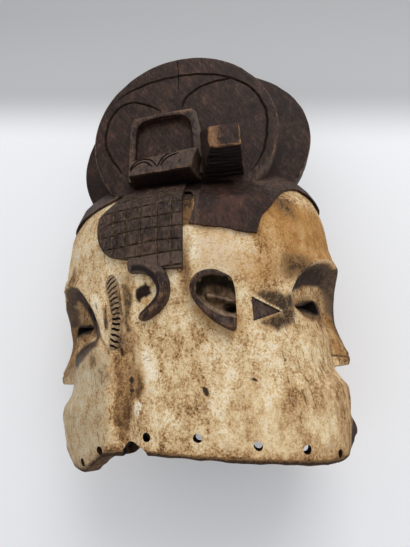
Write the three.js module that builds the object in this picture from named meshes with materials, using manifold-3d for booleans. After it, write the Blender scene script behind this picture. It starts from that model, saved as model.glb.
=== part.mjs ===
// A two-faced (janus) helmet mask, carved from one block of wood and lying on its far side.
// Everything is first laid out in the mask's own standing frame, in millimetres:
//   x  along the line that joins the two faces, the right face looking along +x
//   y  up the mask, from the rim that sits on the shoulders to the crest
//   z  from the mid-plane through both noses to the near side, which lies uppermost
import * as THREE from 'three';
import * as BufferGeometryUtils from 'three/addons/utils/BufferGeometryUtils.js';
import Module from 'manifold-3d';

const wasm = await Module();
wasm.setup();

// Driving dimensions of the helmet
const RIGHT = 1;
const LEFT = -1;
const CROWN_START = 215;
const CROWN_RISE = 70;
// The crown is rounded from face to face, and slopes like a roof towards the two sides
const CROWN_FULLNESS = 2.5;
const CROWN_SIDE_START = 204;
const CROWN_SIDE_FULLNESS = 1.08;
const WALL = 14;
const CAVITY_TOP = 262;
const HAIR_LIFT = 3;
const NET_LIFT = 5.5;
const REST_LEVEL = -111;

// Half-lengths of the level sections, as [height, half-length] down each face's midline
// without its nose, and down the two sides
const FACE_PROFILE = {
  [RIGHT]: [[-28, 121], [-12, 128], [4, 132], [20, 134], [34, 136.5], [42, 137], [52, 131], [61, 127],
    [80, 128], [118, 129], [138, 132], [158, 137], [175, 138], [200, 137], [222, 134], [240, 130], [252, 126]],
  [LEFT]: [[-28, 116], [-12, 125], [0, 131], [20, 136], [33, 138], [39, 137], [52, 129], [61, 127],
    [80, 127], [118, 128], [138, 131.5], [158, 134.5], [175, 134.5], [200, 130.5], [222, 126], [240, 120],
    [252, 115]],
};
const SIDE_PROFILE = [[-28, 93], [0, 97], [40, 99], [120, 100], [170, 99], [200, 97], [222, 94], [252, 90]];
// How full the level sections are: 2 is an ellipse, less is more pointed
const SECTION_FULLNESS = {
  [RIGHT]: [[-28, 2.35], [20, 2.3], [60, 2.05], [110, 1.9], [160, 2], [230, 2.2]],
  [LEFT]: [[-28, 1.75], [20, 1.75], [60, 1.8], [110, 1.85], [160, 1.95], [215, 2.05], [250, 2.8]],
};
const NOSE_HEIGHT = {
  [RIGHT]: [[50, 0], [60.5, 0.5], [62, 15], [69, 16.5], [80, 12.5], [92, 8.5], [104, 6], [118, 5.5], [130, 5.5],
    [140, 6], [152, 6], [162, 3], [172, 0]],
  [LEFT]: [[50, 0], [60.5, 0.5], [62, 15], [69, 16.5], [80, 12.5], [92, 8], [104, 6], [118, 6], [130, 7.5],
    [140, 8.5], [150, 6.5], [160, 3], [172, 0]],
};
const NOSE_HALF_WIDTH = [[55, 24], [66, 23], [80, 18], [100, 12], [120, 10], [140, 14], [156, 26], [185, 40]];
// The eye hollow under each brow: an ellipse seen from the front of the face
const EYE_HOLLOW = {
  [RIGHT]: { across: 37.5, height: 112, halfWidth: 33.5, halfHeight: 42 },
  [LEFT]: { across: 41, height: 108, halfWidth: 35, halfHeight: 41 },
};
const HOLLOW_DEPTH = 7.5;
const BROW_LIFT = 3;
const LIP_LIFT = { [RIGHT]: 8, [LEFT]: 3 };
// The long hollow down the near side, between the left face's cheek and the broad wall
const VALLEY = { x: -54, halfWidth: 20, depth: 7, fadesFrom: 80, goneAt: 100 };
// The side walls are cut higher than the chins, and their edge slopes down to the right
const RIM = { wall: 6, wallAt: -25, slope: 0.115, levelBefore: -60, levelAfter: 95, chinAcross: 52, chinEnds: 88 };
// The left chin hangs lower in its far half
const CHIN_LEVEL = { [RIGHT]: { near: -14, far: -14 }, [LEFT]: { near: -9, far: -14 }, turnsFrom: -12, turnedAt: -50 };

const wood = new THREE.MeshStandardMaterial({ color: 0xb79c78, roughness: 0.85, metalness: 0 });

// A smooth curve through points [at, value] that never overshoots them
function curve(points, at) {
  const last = points.length - 1;
  const x = Math.min(Math.max(at, points[0][0]), points[last][0]);
  const slopeOf = (i) => (points[i + 1][1] - points[i][1]) / (points[i + 1][0] - points[i][0]);
  const tangentAt = (i) => {
    if (i === 0) return slopeOf(0);
    if (i === last) return slopeOf(last - 1);
    const before = slopeOf(i - 1);
    const after = slopeOf(i);
    if (before * after <= 0) return 0;
    const spanBefore = points[i][0] - points[i - 1][0];
    const spanAfter = points[i + 1][0] - points[i][0];
    const weightBefore = 2 * spanAfter + spanBefore;
    const weightAfter = spanAfter + 2 * spanBefore;
    return (weightBefore + weightAfter) / (weightBefore / before + weightAfter / after);
  };
  let i = 0;
  while (i < last - 1 && x > points[i + 1][0]) i += 1;
  const span = points[i + 1][0] - points[i][0];
  const t = (x - points[i][0]) / span;
  return (1 + 2 * t) * (1 - t) ** 2 * points[i][1] + t * (1 - t) ** 2 * span * tangentAt(i)
    + t * t * (3 - 2 * t) * points[i + 1][1] + t * t * (t - 1) * span * tangentAt(i + 1);
}

// Rises smoothly from 0 to 1 between from and to
function ramp(from, to, at) {
  const t = Math.min(Math.max((at - from) / (to - from), 0), 1);
  return t * t * (3 - 2 * t);
}

// A smooth hump of height 1 about centre, gone at reach
function hump(at, centre, reach) {
  const t = Math.min(Math.abs((at - centre) / reach), 1);
  return (1 - t * t) ** 2;
}

const signedPower = (value, power) => Math.sign(value) * Math.abs(value) ** power;

// How far a face's carving stands out from the plain head, at a place on it
function faceCarving(x, y, z) {
  if (Math.abs(x) < 40) return 0;
  const face = x > 0 ? RIGHT : LEFT;
  const across = Math.abs(z);
  const hollow = EYE_HOLLOW[face];
  const reach = Math.hypot((across - hollow.across) / hollow.halfWidth, (y - hollow.height) / hollow.halfHeight);
  const inside = (1 - reach) * hollow.halfWidth;
  const socket = HOLLOW_DEPTH * ramp(0, 12, inside) * ramp(70, 128, y);
  const brow = BROW_LIFT * hump(inside, -2, 12) * ramp(95, 125, y);
  const overNose = Math.min(across / curve(NOSE_HALF_WIDTH, y), 1);
  const nose = curve(NOSE_HEIGHT[face], y) * (1 - overNose ** 1.7) ** 1.2;
  const lips = LIP_LIFT[face] * hump(y, 2, 13) * hump(across, 0, 30);
  return brow - socket + nose + lips;
}

function valleyDepth(x, y, z) {
  return z > 0 ? VALLEY.depth * hump(x, VALLEY.x, VALLEY.halfWidth) * ramp(VALLEY.goneAt, VALLEY.fadesFrom, y) : 0;
}

// A point of the head at an angle round it and a height, pushed out by lift.
// Above CROWN_START the level sections shrink along a rounded arch to the crown's top.
function headPoint(angle, y, lift = 0) {
  const side = Math.cos(angle) > 0 ? RIGHT : LEFT;
  const crownTop = CROWN_START + CROWN_RISE;
  const rise = THREE.MathUtils.clamp((y - CROWN_START) / CROWN_RISE, 0, 1);
  const sideRise = THREE.MathUtils.clamp((y - CROWN_SIDE_START) / (crownTop - CROWN_SIDE_START), 0, 1);
  const lengthShrink = (1 - rise ** CROWN_FULLNESS) ** (1 / CROWN_FULLNESS);
  const widthShrink = (1 - sideRise ** CROWN_SIDE_FULLNESS) ** (1 / CROWN_SIDE_FULLNESS);
  const halfLength = curve(FACE_PROFILE[side], y);
  const halfWidth = curve(SIDE_PROFILE, y);
  const fullness = curve(SECTION_FULLNESS[side], y);
  const x = halfLength * lengthShrink * signedPower(Math.cos(angle), 2 / fullness);
  const z = halfWidth * widthShrink * signedPower(Math.sin(angle), 2 / fullness);
  const outward = new THREE.Vector3(
    signedPower(Math.cos(angle), 2 - 2 / fullness) / halfLength,
    0,
    signedPower(Math.sin(angle), 2 - 2 / fullness) / halfWidth,
  ).normalize();
  const sideness = Math.abs(outward.z);
  outward.multiplyScalar(THREE.MathUtils.lerp(lengthShrink ** 1.5, 0.75, sideness));
  outward.y = THREE.MathUtils.lerp(rise ** 1.5, 0.65 * Math.min(sideRise * 4, 1), sideness);
  outward.normalize();
  const push = lift + faceCarving(x, y, z) - valleyDepth(x, y, z);
  return new THREE.Vector3(x, y, z).addScaledVector(outward, push);
}

function rimHeight(x, z) {
  const along = THREE.MathUtils.clamp(x, RIM.levelBefore, RIM.levelAfter);
  const wall = RIM.wall - RIM.slope * (along - RIM.wallAt);
  const chin = Math.abs(x) > RIM.chinAcross ? ramp(RIM.chinEnds, RIM.chinAcross, Math.abs(z)) : 0;
  const { near, far } = CHIN_LEVEL[x > 0 ? RIGHT : LEFT];
  const level = THREE.MathUtils.lerp(near, far, ramp(CHIN_LEVEL.turnsFrom, CHIN_LEVEL.turnedAt, z));
  return THREE.MathUtils.lerp(wall, level, chin);
}

function toSolid(geometry) {
  geometry.deleteAttribute('normal');
  geometry.deleteAttribute('uv');
  const merged = BufferGeometryUtils.mergeVertices(geometry, 1e-4);
  const vertProperties = new Float32Array(merged.attributes.position.array);
  const triVerts = new Uint32Array(merged.index.array);
  return new wasm.Manifold(new wasm.Mesh({ numProp: 3, vertProperties, triVerts }));
}

// A closed skin of rings from the top down: a sphere's grid whose points are laid anew.
// place(angle, ring) gives each point, and the first and last ring shrink to one point.
// The columns crowd together at the two faces, where the carving is finest.
const COLUMN_CROWDING = 0.2;

function ringSolid(columns, rings, place) {
  const geometry = new THREE.SphereGeometry(1, columns, rings - 1);
  const position = geometry.attributes.position;
  for (let i = 0; i < position.count; i += 1) {
    const ring = Math.floor(i / (columns + 1));
    const column = (i % (columns + 1)) % columns;
    const angle = Math.PI - (2 * Math.PI * column) / columns;
    const point = place(angle - COLUMN_CROWDING * Math.sin(2 * angle), ring);
    position.setXYZ(i, point.x, point.y, point.z);
  }
  return toSolid(geometry);
}

// The outside of the head, from the crown's top to the rim and across it
const HEAD_COLUMNS = 64;
const HEAD_STEP = 8;
const CROWN_STEPS = 4;
// A ring through the lips lies this share of the way from the last level ring to the rim
const LIP_SHARE = 0.42;

function headSkin(lift, columns = HEAD_COLUMNS, faceStep = HEAD_STEP) {
  const crownHeights = [];
  for (let step = 0; step < CROWN_STEPS; step += 1) {
    const tilt = (Math.PI / 2) * (1 - step / CROWN_STEPS);
    crownHeights.push(CROWN_START + CROWN_RISE * Math.sin(tilt) ** (2 / CROWN_FULLNESS));
  }
  const foreheadHeights = [CROWN_START, 201, 187, 173];
  const faceHeights = [];
  for (let y = 162; y > 75; y -= faceStep) faceHeights.push(y);
  const muzzleHeights = [74, 69, 63.5, 61, 53, 46, 39, 28, 14];
  const heights = [...crownHeights, ...foreheadHeights, ...faceHeights, ...muzzleHeights];
  const levelRings = heights.length;
  const rings = levelRings + 4;
  return ringSolid(columns, rings, (angle, ring) => {
    if (ring === 0) return new THREE.Vector3(0, heights[0] + lift, 0);
    if (ring < levelRings) return headPoint(angle, heights[ring], lift);
    const edge = headPoint(angle, 0);
    const rim = rimHeight(edge.x, edge.z);
    if (ring === levelRings) {
      return headPoint(angle, THREE.MathUtils.lerp(heights[levelRings - 1], rim, LIP_SHARE), lift);
    }
    const low = headPoint(angle, rim, lift);
    if (ring === levelRings + 1) return low;
    if (ring === levelRings + 2) return new THREE.Vector3(low.x * 0.7, low.y, low.z * 0.7);
    return new THREE.Vector3(0, -8, 0);
  });
}

// The hollow that takes the wearer's head, one wall inside the plain head
function cavitySolid() {
  const low = -40;
  const heights = [CAVITY_TOP, 258, 248, 234, 215, 190, 150, 110, 75, 35, 0, low];
  return ringSolid(32, heights.length + 1, (angle, ring) => {
    const y = heights[Math.min(ring, heights.length - 1)];
    if (ring === heights.length) return new THREE.Vector3(0, low, 0);
    const side = Math.cos(angle) > 0 ? RIGHT : LEFT;
    const rise = Math.min(Math.max((y - 175) / (CAVITY_TOP - 175), 0), 1);
    const shrink = (1 - rise ** 2.4) ** (1 / 2.4);
    const fullness = curve(SECTION_FULLNESS[side], y);
    const halfLength = Math.min(curve(FACE_PROFILE[side], y), 129) - WALL;
    const halfWidth = curve(SIDE_PROFILE, y) - WALL;
    const x = halfLength * shrink * signedPower(Math.cos(angle), 2 / fullness);
    const z = halfWidth * shrink * signedPower(Math.sin(angle), 2 / fullness);
    return new THREE.Vector3(x, y, z);
  });
}

function outline(points) {
  return new THREE.Shape(points.map(([x, y]) => new THREE.Vector2(x, y)));
}

// An outline drawn in x and y, made solid from z = low to z = high
function prism(shape, low, high, bevel = 0, curveSegments = 12) {
  const geometry = new THREE.ExtrudeGeometry(shape, {
    depth: high - low - 2 * bevel,
    bevelEnabled: bevel > 0,
    bevelThickness: bevel,
    bevelSize: bevel,
    bevelOffset: -bevel,
    bevelSegments: 1,
    curveSegments,
  });
  geometry.translate(0, 0, low + bevel);
  return toSolid(geometry);
}

const mirrored = (solid) => solid.mirror([0, 0, 1]);

// Raised patches follow the head in coarser steps than its face
const PATCH_COLUMNS = 40;
const PATCH_STEP = 18;

// Hair: the crown is raised above the faces down to this hairline, read from the right
// face's midline over the near side to the left face's midline
const NEAR_HAIRLINE = [[160, 206], [126, 210], [117, 218], [104, 221], [92, 214], [77, 197], [68.5, 186], [65, 171],
  [44, 175], [23, 180], [10, 182], [15, 202], [11, 219], [5, 219], [-62, 219], [-75, 210], [-93, 200], [-112, 203],
  [-160, 208]];
const FAR_HAIRLINE = [[160, 206], [126, 210], [117, 218], [104, 221], [92, 214], [77, 197], [65, 178],
  [0, 176], [-65, 178], [-77, 197], [-93, 203], [-112, 206], [-160, 208]];
// The patch of net-like hair over the left face's near ear
const NET_OUTLINE = [[5, 250], [5, 218], [3, 143], [-10, 143.5], [-44, 156], [-59, 161], [-71, 171], [-77, 188],
  [-75, 207], [-62, 222], [-52, 250]];
const NET_COLUMNS = [-68, -56, -45, -30.5, -16, -4.5];
const NET_ROWS = [156, 168, 180, 191, 202, 213];
const NET_ROW_RISE = 0.16;
const NET_GROOVE = { width: 1.8, depth: 1.2 };

function hairSolid() {
  const above = (hairline) => outline([...hairline, [-160, 300], [160, 300]]);
  const raised = headSkin(HAIR_LIFT, PATCH_COLUMNS, PATCH_STEP);
  const near = raised.intersect(prism(above(NEAR_HAIRLINE), -0.5, 140));
  const far = raised.intersect(prism(above(FAR_HAIRLINE), -140, 0.5));
  return near.add(far);
}

function bar(from, to, width, low, high) {
  const length = Math.hypot(to[0] - from[0], to[1] - from[1]);
  const geometry = new THREE.BoxGeometry(length, width, high - low);
  geometry.rotateZ(Math.atan2(to[1] - from[1], to[0] - from[0]));
  geometry.translate((from[0] + to[0]) / 2, (from[1] + to[1]) / 2, (low + high) / 2);
  return toSolid(geometry);
}

function netSolid() {
  const net = headSkin(NET_LIFT, PATCH_COLUMNS, PATCH_STEP).intersect(prism(outline(NET_OUTLINE), 30, 140));
  const shallow = headSkin(NET_LIFT - NET_GROOVE.depth, PATCH_COLUMNS, PATCH_STEP);
  let grooves = null;
  for (const x of NET_COLUMNS) {
    const groove = bar([x, 130], [x, 240], NET_GROOVE.width, 30, 140);
    grooves = grooves ? grooves.add(groove) : groove;
  }
  for (const y of NET_ROWS) {
    const from = [-90, y - 43 * NET_ROW_RISE];
    const to = [12, y + 8 * NET_ROW_RISE];
    grooves = grooves.add(bar(from, to, NET_GROOVE.width, 30, 140));
  }
  return net.subtract(grooves.subtract(shallow));
}

// A row of raised cuts on the left cheekbone, shaped as a long leaf
const LEAF = { x: -58, low: 85, high: 144, halfWidth: 8, lift: 3.2, cuts: 7, cutWidth: 1.8, cutDepth: 2 };

function leafSolid() {
  const middle = (LEAF.low + LEAF.high) / 2;
  const shape = new THREE.Shape();
  shape.moveTo(LEAF.x - 1, LEAF.low);
  shape.quadraticCurveTo(LEAF.x + 2 * LEAF.halfWidth, middle, LEAF.x - 3, LEAF.high);
  shape.quadraticCurveTo(LEAF.x - 2 * LEAF.halfWidth, middle, LEAF.x - 1, LEAF.low);
  let leaf = headSkin(LEAF.lift, PATCH_COLUMNS, PATCH_STEP).intersect(prism(shape, 40, 140, 0, 5));
  const shallow = headSkin(LEAF.lift - LEAF.cutDepth, PATCH_COLUMNS, PATCH_STEP);
  for (let cut = 0; cut < LEAF.cuts; cut += 1) {
    const y = LEAF.low + 8 + (cut * (LEAF.high - LEAF.low - 14)) / (LEAF.cuts - 1);
    const slanting = bar([LEAF.x, y], [LEAF.x + 12, y + 6], LEAF.cutWidth, 40, 140);
    leaf = leaf.subtract(slanting.subtract(shallow));
  }
  return leaf;
}

// The right head's ear: a tilted oval cup, cut straight where it opens to the face
const CUP_EAR = { x: 30.5, y: 113, length: 25, width: 21.5, tilt: 112, openAt: 43, height: 112, cup: 7, depth: 15 };
const EAR_ROOT = 86;

function cupEar() {
  const shape = new THREE.Shape();
  shape.absellipse(CUP_EAR.x, CUP_EAR.y, CUP_EAR.length, CUP_EAR.width, 0, 2 * Math.PI, false,
    THREE.MathUtils.degToRad(CUP_EAR.tilt));
  const oval = prism(shape, EAR_ROOT, CUP_EAR.height, 2, 9);
  const open = bar([CUP_EAR.openAt + 20, 60], [CUP_EAR.openAt + 20, 170], 40, 60, 130);
  const scoop = new THREE.SphereGeometry(1, 14, 8);
  scoop.scale(CUP_EAR.length - CUP_EAR.cup, CUP_EAR.width - CUP_EAR.cup + 2, CUP_EAR.depth + 1);
  scoop.rotateZ(THREE.MathUtils.degToRad(CUP_EAR.tilt));
  scoop.rotateY(0.12);
  scoop.translate(CUP_EAR.x + 4, CUP_EAR.y, CUP_EAR.height + 1);
  return oval.subtract(open).subtract(toSolid(scoop));
}

// The left head's ear: a raised band bent to a C that opens to the face, round a small pit
const BAND_EAR = { x: -34, y: 128, radius: 26.5, band: 9, from: -80, to: 108, height: 107 };

function bandEar() {
  const from = THREE.MathUtils.degToRad(BAND_EAR.from);
  const to = THREE.MathUtils.degToRad(BAND_EAR.to);
  const shape = new THREE.Shape();
  shape.absarc(BAND_EAR.x, BAND_EAR.y, BAND_EAR.radius, from, to, false);
  shape.absarc(BAND_EAR.x, BAND_EAR.y, BAND_EAR.radius - BAND_EAR.band, to, from, true);
  return prism(shape, EAR_ROOT, BAND_EAR.height, 2, 7);
}

// Crest: a broad oval plate on the mid-plane with a smaller disc on each side of it
const DISC = { x: 4, y: 302, long: 97.5, short: 94, tilt: 32, front: 56, back: 34, bevel: 3 };
const PLATE = { x: 9.5, y: 306, long: 131, short: 103, tilt: 14, half: 12, bevel: 3 };

function ovalPlate({ x, y, long, short, tilt, bevel }, low, high) {
  const shape = new THREE.Shape();
  shape.absellipse(x, y, long, short, 0, 2 * Math.PI, false, THREE.MathUtils.degToRad(tilt));
  return prism(shape, low, high, bevel, 16);
}

// The carved group on the near disc: a squared arch, an open book under it and a worn stump
const ARCH_OUTER = [[-51, 240], [-47.5, 316], [-44, 320], [14, 323], [18.5, 319], [22, 298], [22, 240]];
const ARCH_INNER = [[-43, 257], [-40.5, 306], [-30, 312], [4, 313.5], [11, 304], [13, 257]];
const ARCH_FRONT = 64;
const BOOK = { left: -47, right: 13, low: 242, high: 258, front: 84, skew: 7, chamfer: 6 };
const STUMP = { left: 31, right: 59.5, baseLeft: 17, low: 245, high: 268, baseHigh: 303, end: 108 };
const FAR_STUMP = { left: -24, right: 24, baseLeft: -24, low: 246, high: 272, baseHigh: 290 };

function archSolid() {
  const panel = prism(outline(ARCH_OUTER), DISC.front - 6, ARCH_FRONT, 1.5);
  return panel.subtract(prism(outline(ARCH_INNER), DISC.front, ARCH_FRONT + 5));
}

function bookSolid() {
  const low = DISC.front - 8;
  const shape = outline([[BOOK.left, BOOK.low], [BOOK.right, BOOK.low + BOOK.skew * 0.5],
    [BOOK.right + 7, BOOK.high + BOOK.skew], [BOOK.left, BOOK.high]]);
  const block = prism(shape, low, BOOK.front, 1.5);
  const slant = new THREE.BoxGeometry(30, 60, 40);
  slant.rotateY(-0.35);
  slant.translate(BOOK.right + 16 - BOOK.chamfer, (BOOK.low + BOOK.high) / 2, BOOK.front + 8);
  return block.subtract(toSolid(slant));
}

// A tapering block from the disc's face to its worn end
function stumpSolid(stump, from, to) {
  const middle = (stump.low + stump.high) / 2;
  const geometry = new THREE.BoxGeometry(stump.right - stump.left, stump.high - stump.low, to - from);
  geometry.translate((stump.left + stump.right) / 2, middle, (from + to) / 2);
  const position = geometry.attributes.position;
  for (let i = 0; i < position.count; i += 1) {
    if (position.getZ(i) === from && position.getX(i) === stump.left) position.setX(i, stump.baseLeft);
    if (position.getZ(i) === from && position.getY(i) === stump.high) position.setY(i, stump.baseHigh);
  }
  return toSolid(geometry);
}

// Holes round the rim, cut square to the wall, for sewing on a collar
const HOLE_RADIUS = 3.3;
const SIDE_HOLES = [[-31, 18.5], [7, 15.3], [50, 8], [83.5, 3.5]];
const CHIN_HOLES = [
  { at: [112, -4.5, 55], bearing: 50 },
  { at: [-96, -1.5, 57], bearing: 126 },
  { at: [-75, 9, 74], bearing: 112 },
];
// Eye openings as [across the face, height] round their edge
const EYE_OPENING = {
  [RIGHT]: [[57, 112], [52, 116], [46.5, 118.5], [41, 115.5], [43.5, 105], [52, 105.5]],
  [LEFT]: [[60, 107.5], [56, 111], [48, 114], [38, 114], [39, 107], [48, 102], [55, 101.5]],
};
// A piece is lost from the near rim between the wall and the left chin
const NOTCH = [[-52, -40], [-51, 3], [-47, 12], [-43, 16], [-37, 14], [-33, 8], [-33, -40]];

function rod(radius, length, sides) {
  const geometry = new THREE.CylinderGeometry(radius, radius, length, sides);
  geometry.rotateX(Math.PI / 2);
  return geometry;
}

function rimHoles() {
  const holes = [];
  for (const [x, y] of SIDE_HOLES) {
    const hole = rod(HOLE_RADIUS, 80, 8);
    hole.translate(x, y, 90);
    holes.push(toSolid(hole));
  }
  for (const { at, bearing } of CHIN_HOLES) {
    const hole = rod(HOLE_RADIUS, 50, 8);
    hole.rotateY(THREE.MathUtils.degToRad(90 - bearing));
    hole.translate(...at);
    holes.push(toSolid(hole));
  }
  return holes;
}

function eyeOpening(side) {
  const shape = outline(EYE_OPENING[side].map(([across, y]) => [-across, y]));
  const geometry = new THREE.ExtrudeGeometry(shape, { depth: 80, bevelEnabled: false });
  geometry.rotateY(Math.PI / 2);
  geometry.translate(55, 0, 0);
  const opening = toSolid(geometry);
  return side === RIGHT ? opening : opening.mirror([1, 0, 0]);
}

function carve() {
  let mask = headSkin(0).add(hairSolid()).add(netSolid()).add(leafSolid());
  const nearEars = cupEar().add(bandEar());
  mask = mask.add(nearEars).add(mirrored(nearEars));
  const disc = ovalPlate(DISC, DISC.back, DISC.front);
  mask = mask.add(ovalPlate(PLATE, -PLATE.half, PLATE.half)).add(disc).add(mirrored(disc));
  mask = mask.add(archSolid()).add(bookSolid());
  mask = mask.add(stumpSolid(STUMP, DISC.front - 6, STUMP.end));
  mask = mask.add(mirrored(stumpSolid(FAR_STUMP, DISC.front - 6, -REST_LEVEL)));
  mask = mask.subtract(cavitySolid()).subtract(prism(outline(NOTCH), 60, 130));
  const holes = rimHoles();
  for (const side of [RIGHT, LEFT]) holes.push(eyeOpening(side));
  for (const hole of holes) mask = mask.subtract(hole).subtract(mirrored(hole));
  const underRest = toSolid(new THREE.BoxGeometry(400, 700, 40).translate(0, 150, REST_LEVEL - 20));
  return mask.subtract(underRest);
}

// Turned to lie on its far side and set down on z = 0, centred on the floor
function laidDown(solid) {
  const { vertProperties, triVerts } = solid.getMesh();
  const geometry = new THREE.BufferGeometry();
  geometry.setAttribute('position', new THREE.BufferAttribute(vertProperties, 3));
  geometry.setIndex(new THREE.BufferAttribute(triVerts, 1));
  geometry.computeBoundingBox();
  const { min, max } = geometry.boundingBox;
  geometry.translate(-(min.x + max.x) / 2, -(min.y + max.y) / 2, -min.z);
  geometry.computeVertexNormals();
  return geometry;
}

const mask = new THREE.Mesh(laidDown(carve()), wood);
mask.name = 'helmet_mask';
const object = new THREE.Group();
object.add(mask);

export default object;
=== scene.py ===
import math

import bmesh
import bpy
import numpy as np
from mathutils import Matrix, Vector


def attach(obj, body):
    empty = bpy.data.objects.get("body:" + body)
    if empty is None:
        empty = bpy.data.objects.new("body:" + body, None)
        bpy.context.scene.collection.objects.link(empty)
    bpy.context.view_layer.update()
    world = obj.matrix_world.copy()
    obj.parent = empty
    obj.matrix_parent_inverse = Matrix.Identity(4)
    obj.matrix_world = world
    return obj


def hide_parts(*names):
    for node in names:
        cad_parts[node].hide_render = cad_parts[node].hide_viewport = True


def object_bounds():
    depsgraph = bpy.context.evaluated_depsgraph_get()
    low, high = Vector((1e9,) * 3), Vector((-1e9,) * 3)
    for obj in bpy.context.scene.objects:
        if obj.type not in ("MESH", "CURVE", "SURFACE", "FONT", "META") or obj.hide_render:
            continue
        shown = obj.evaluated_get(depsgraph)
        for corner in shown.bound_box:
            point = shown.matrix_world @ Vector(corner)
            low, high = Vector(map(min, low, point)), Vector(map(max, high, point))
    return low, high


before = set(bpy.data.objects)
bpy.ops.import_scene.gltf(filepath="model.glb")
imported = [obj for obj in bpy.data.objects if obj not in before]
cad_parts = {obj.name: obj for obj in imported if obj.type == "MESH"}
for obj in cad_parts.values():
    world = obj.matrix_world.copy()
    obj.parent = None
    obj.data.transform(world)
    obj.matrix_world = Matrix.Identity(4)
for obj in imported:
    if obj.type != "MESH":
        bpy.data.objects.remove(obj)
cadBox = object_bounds()

# Every shape is laid out in the mask's own standing frame, in millimetres: x along the two faces, y from
# the rim up to the crest, z from the mid-plane through both noses to the near side, which lies uppermost.
# This is where that frame lies in the row frame.
maskMiddle = np.array([-0.01, 198.23, -111.0])
restLevel = -111.0


# Millimetres in the mask's frame as metres in the row frame.
def toRow(points):
    return (np.asarray(points, float) - maskMiddle) / 1000


# Curves and fields

# A smooth curve through [at, value] pairs that never overshoots them: cubic pieces, whose slope at each
# pair is the weighted harmonic mean of the slopes on its two sides, or 0 where these differ in sign.
def curve(points, at):
    x, y = np.array(points, float).T
    at = np.clip(np.asarray(at, float), x[0], x[-1])
    span = np.diff(x)
    slope = np.diff(y) / span
    before, after = slope[:-1], slope[1:]
    heavy, light = 2 * span[1:] + span[:-1], span[1:] + 2 * span[:-1]
    bends = before * after > 0
    safe = np.where(bends, before, 1.0), np.where(bends, after, 1.0)
    inner = np.where(bends, (heavy + light) / (heavy / safe[0] + light / safe[1]), 0.0)
    tangent = np.concatenate([slope[:1], inner, slope[-1:]])
    i = np.clip(np.searchsorted(x, at, side="right") - 1, 0, len(x) - 2)
    t = (at - x[i]) / span[i]
    return ((1 + 2 * t) * (1 - t) ** 2 * y[i] + t * (1 - t) ** 2 * span[i] * tangent[i]
            + t * t * (3 - 2 * t) * y[i + 1] + t * t * (t - 1) * span[i] * tangent[i + 1])


# Rises smoothly from 0 to 1 between start and end.
def ramp(start, end, at):
    t = np.clip((at - start) / (end - start), 0, 1)
    return t * t * (3 - 2 * t)


# A smooth hump of height 1 about centre, gone at reach.
def hump(at, centre, reach):
    t = np.clip(np.abs((at - centre) / reach), 0, 1)
    return (1 - t * t) ** 2


# A round hump about a place, gone at reach times wide or tall; lean shifts it to the left as it rises.
def spot(x, y, at, up, reach, wide=1.0, tall=1.0, lean=0.0):
    return hump(np.hypot((x - at + lean * (y - up)) / wide, (y - up) / tall), 0, reach)


# Goes straight from start to end as share goes from 0 to 1.
def blendTo(start, end, share):
    return start + (end - start) * share


# A power of the value's size, with the value's own sign.
def signedPower(value, power):
    return np.sign(value) * np.abs(value) ** power


# The running sum of the steps, which starts at 0.
def runningSum(steps):
    return np.concatenate([[0], np.cumsum(steps)])


# Vectors made one long.
def unit(vectors):
    return vectors / np.linalg.norm(vectors, axis=-1, keepdims=True)


# A smooth random field about 0, whose bumps are about size millimetres wide: the sum of 12 sine waves
# with random directions, lengths and starts.
def unevenness(points, size, seed):
    rng = np.random.default_rng(seed)
    waves = rng.normal(size=(12, 3))
    waves *= (2 * math.pi / size) * rng.uniform(0.6, 1.4, (12, 1)) / np.linalg.norm(waves, axis=1)[:, None]
    phases = rng.uniform(0, 2 * math.pi, 12)
    return np.sin(points @ waves.T + phases).sum(-1) / math.sqrt(12)


# A rounded line through the points, sampled about every step millimetres: each stretch is the cubic whose
# slope at a point is half the way from the point before it to the point after it.
def smoothLine(points, step=1.5):
    p = np.array(points, float)
    p = np.vstack([2 * p[0] - p[1], p, 2 * p[-1] - p[-2]])
    stretches = []
    for a, b, c, d in zip(p[:-3], p[1:-2], p[2:-1], p[3:]):
        count = max(1, int(round(np.linalg.norm(c - b) / step)))
        t = (np.arange(count) / count)[:, None]
        stretches.append(0.5 * (2 * b + (c - a) * t + (2 * a - 5 * b + 4 * c - d) * t ** 2
                                + (3 * b - a - 3 * c + d) * t ** 3))
    return np.vstack(stretches + [p[-2][None]])


# Distance to an open line: the least of the distances to its stretches.
def lineDistance(x, y, points):
    p = np.array(points, float)
    nearest = np.full(np.shape(x), 1e9)
    for (ax, ay), (bx, by) in zip(p[:-1], p[1:]):
        ux, uy = bx - ax, by - ay
        t = np.clip(((x - ax) * ux + (y - ay) * uy) / (ux * ux + uy * uy), 0, 1)
        nearest = np.minimum(nearest, np.hypot(x - ax - t * ux, y - ay - t * uy))
    return nearest


# Distance to a closed outline, positive inside it. A place is inside where a level line from it crosses
# the outline an odd number of times.
def signedDistance(x, y, outline):
    p = np.array([*outline, outline[0]], float)
    enclosed = np.zeros(np.shape(x), bool)
    for (ax, ay), (bx, by) in zip(p[:-1], p[1:]):
        crosses = (ay > y) != (by > y)
        enclosed ^= crosses & (x < ax + (y - ay) * (bx - ax) / ((by - ay) or 1e-9))
    return lineDistance(x, y, p) * np.where(enclosed, 1, -1)


# A smooth closed outline, resampled to count evenly spaced points.
def outlineRing(points, count):
    line = smoothLine([*points, points[0]], 0.7)
    grown = runningSum(np.linalg.norm(np.diff(line, axis=0), axis=1))
    at = np.arange(count) * grown[-1] / count
    return np.stack([np.interp(at, grown, line[:, 0]), np.interp(at, grown, line[:, 1])], -1)


# Meshes

# What a face is made of, as the place of its material
chalk, stain, groove, netCut, inside, raw, bowlWood = range(7)


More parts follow.
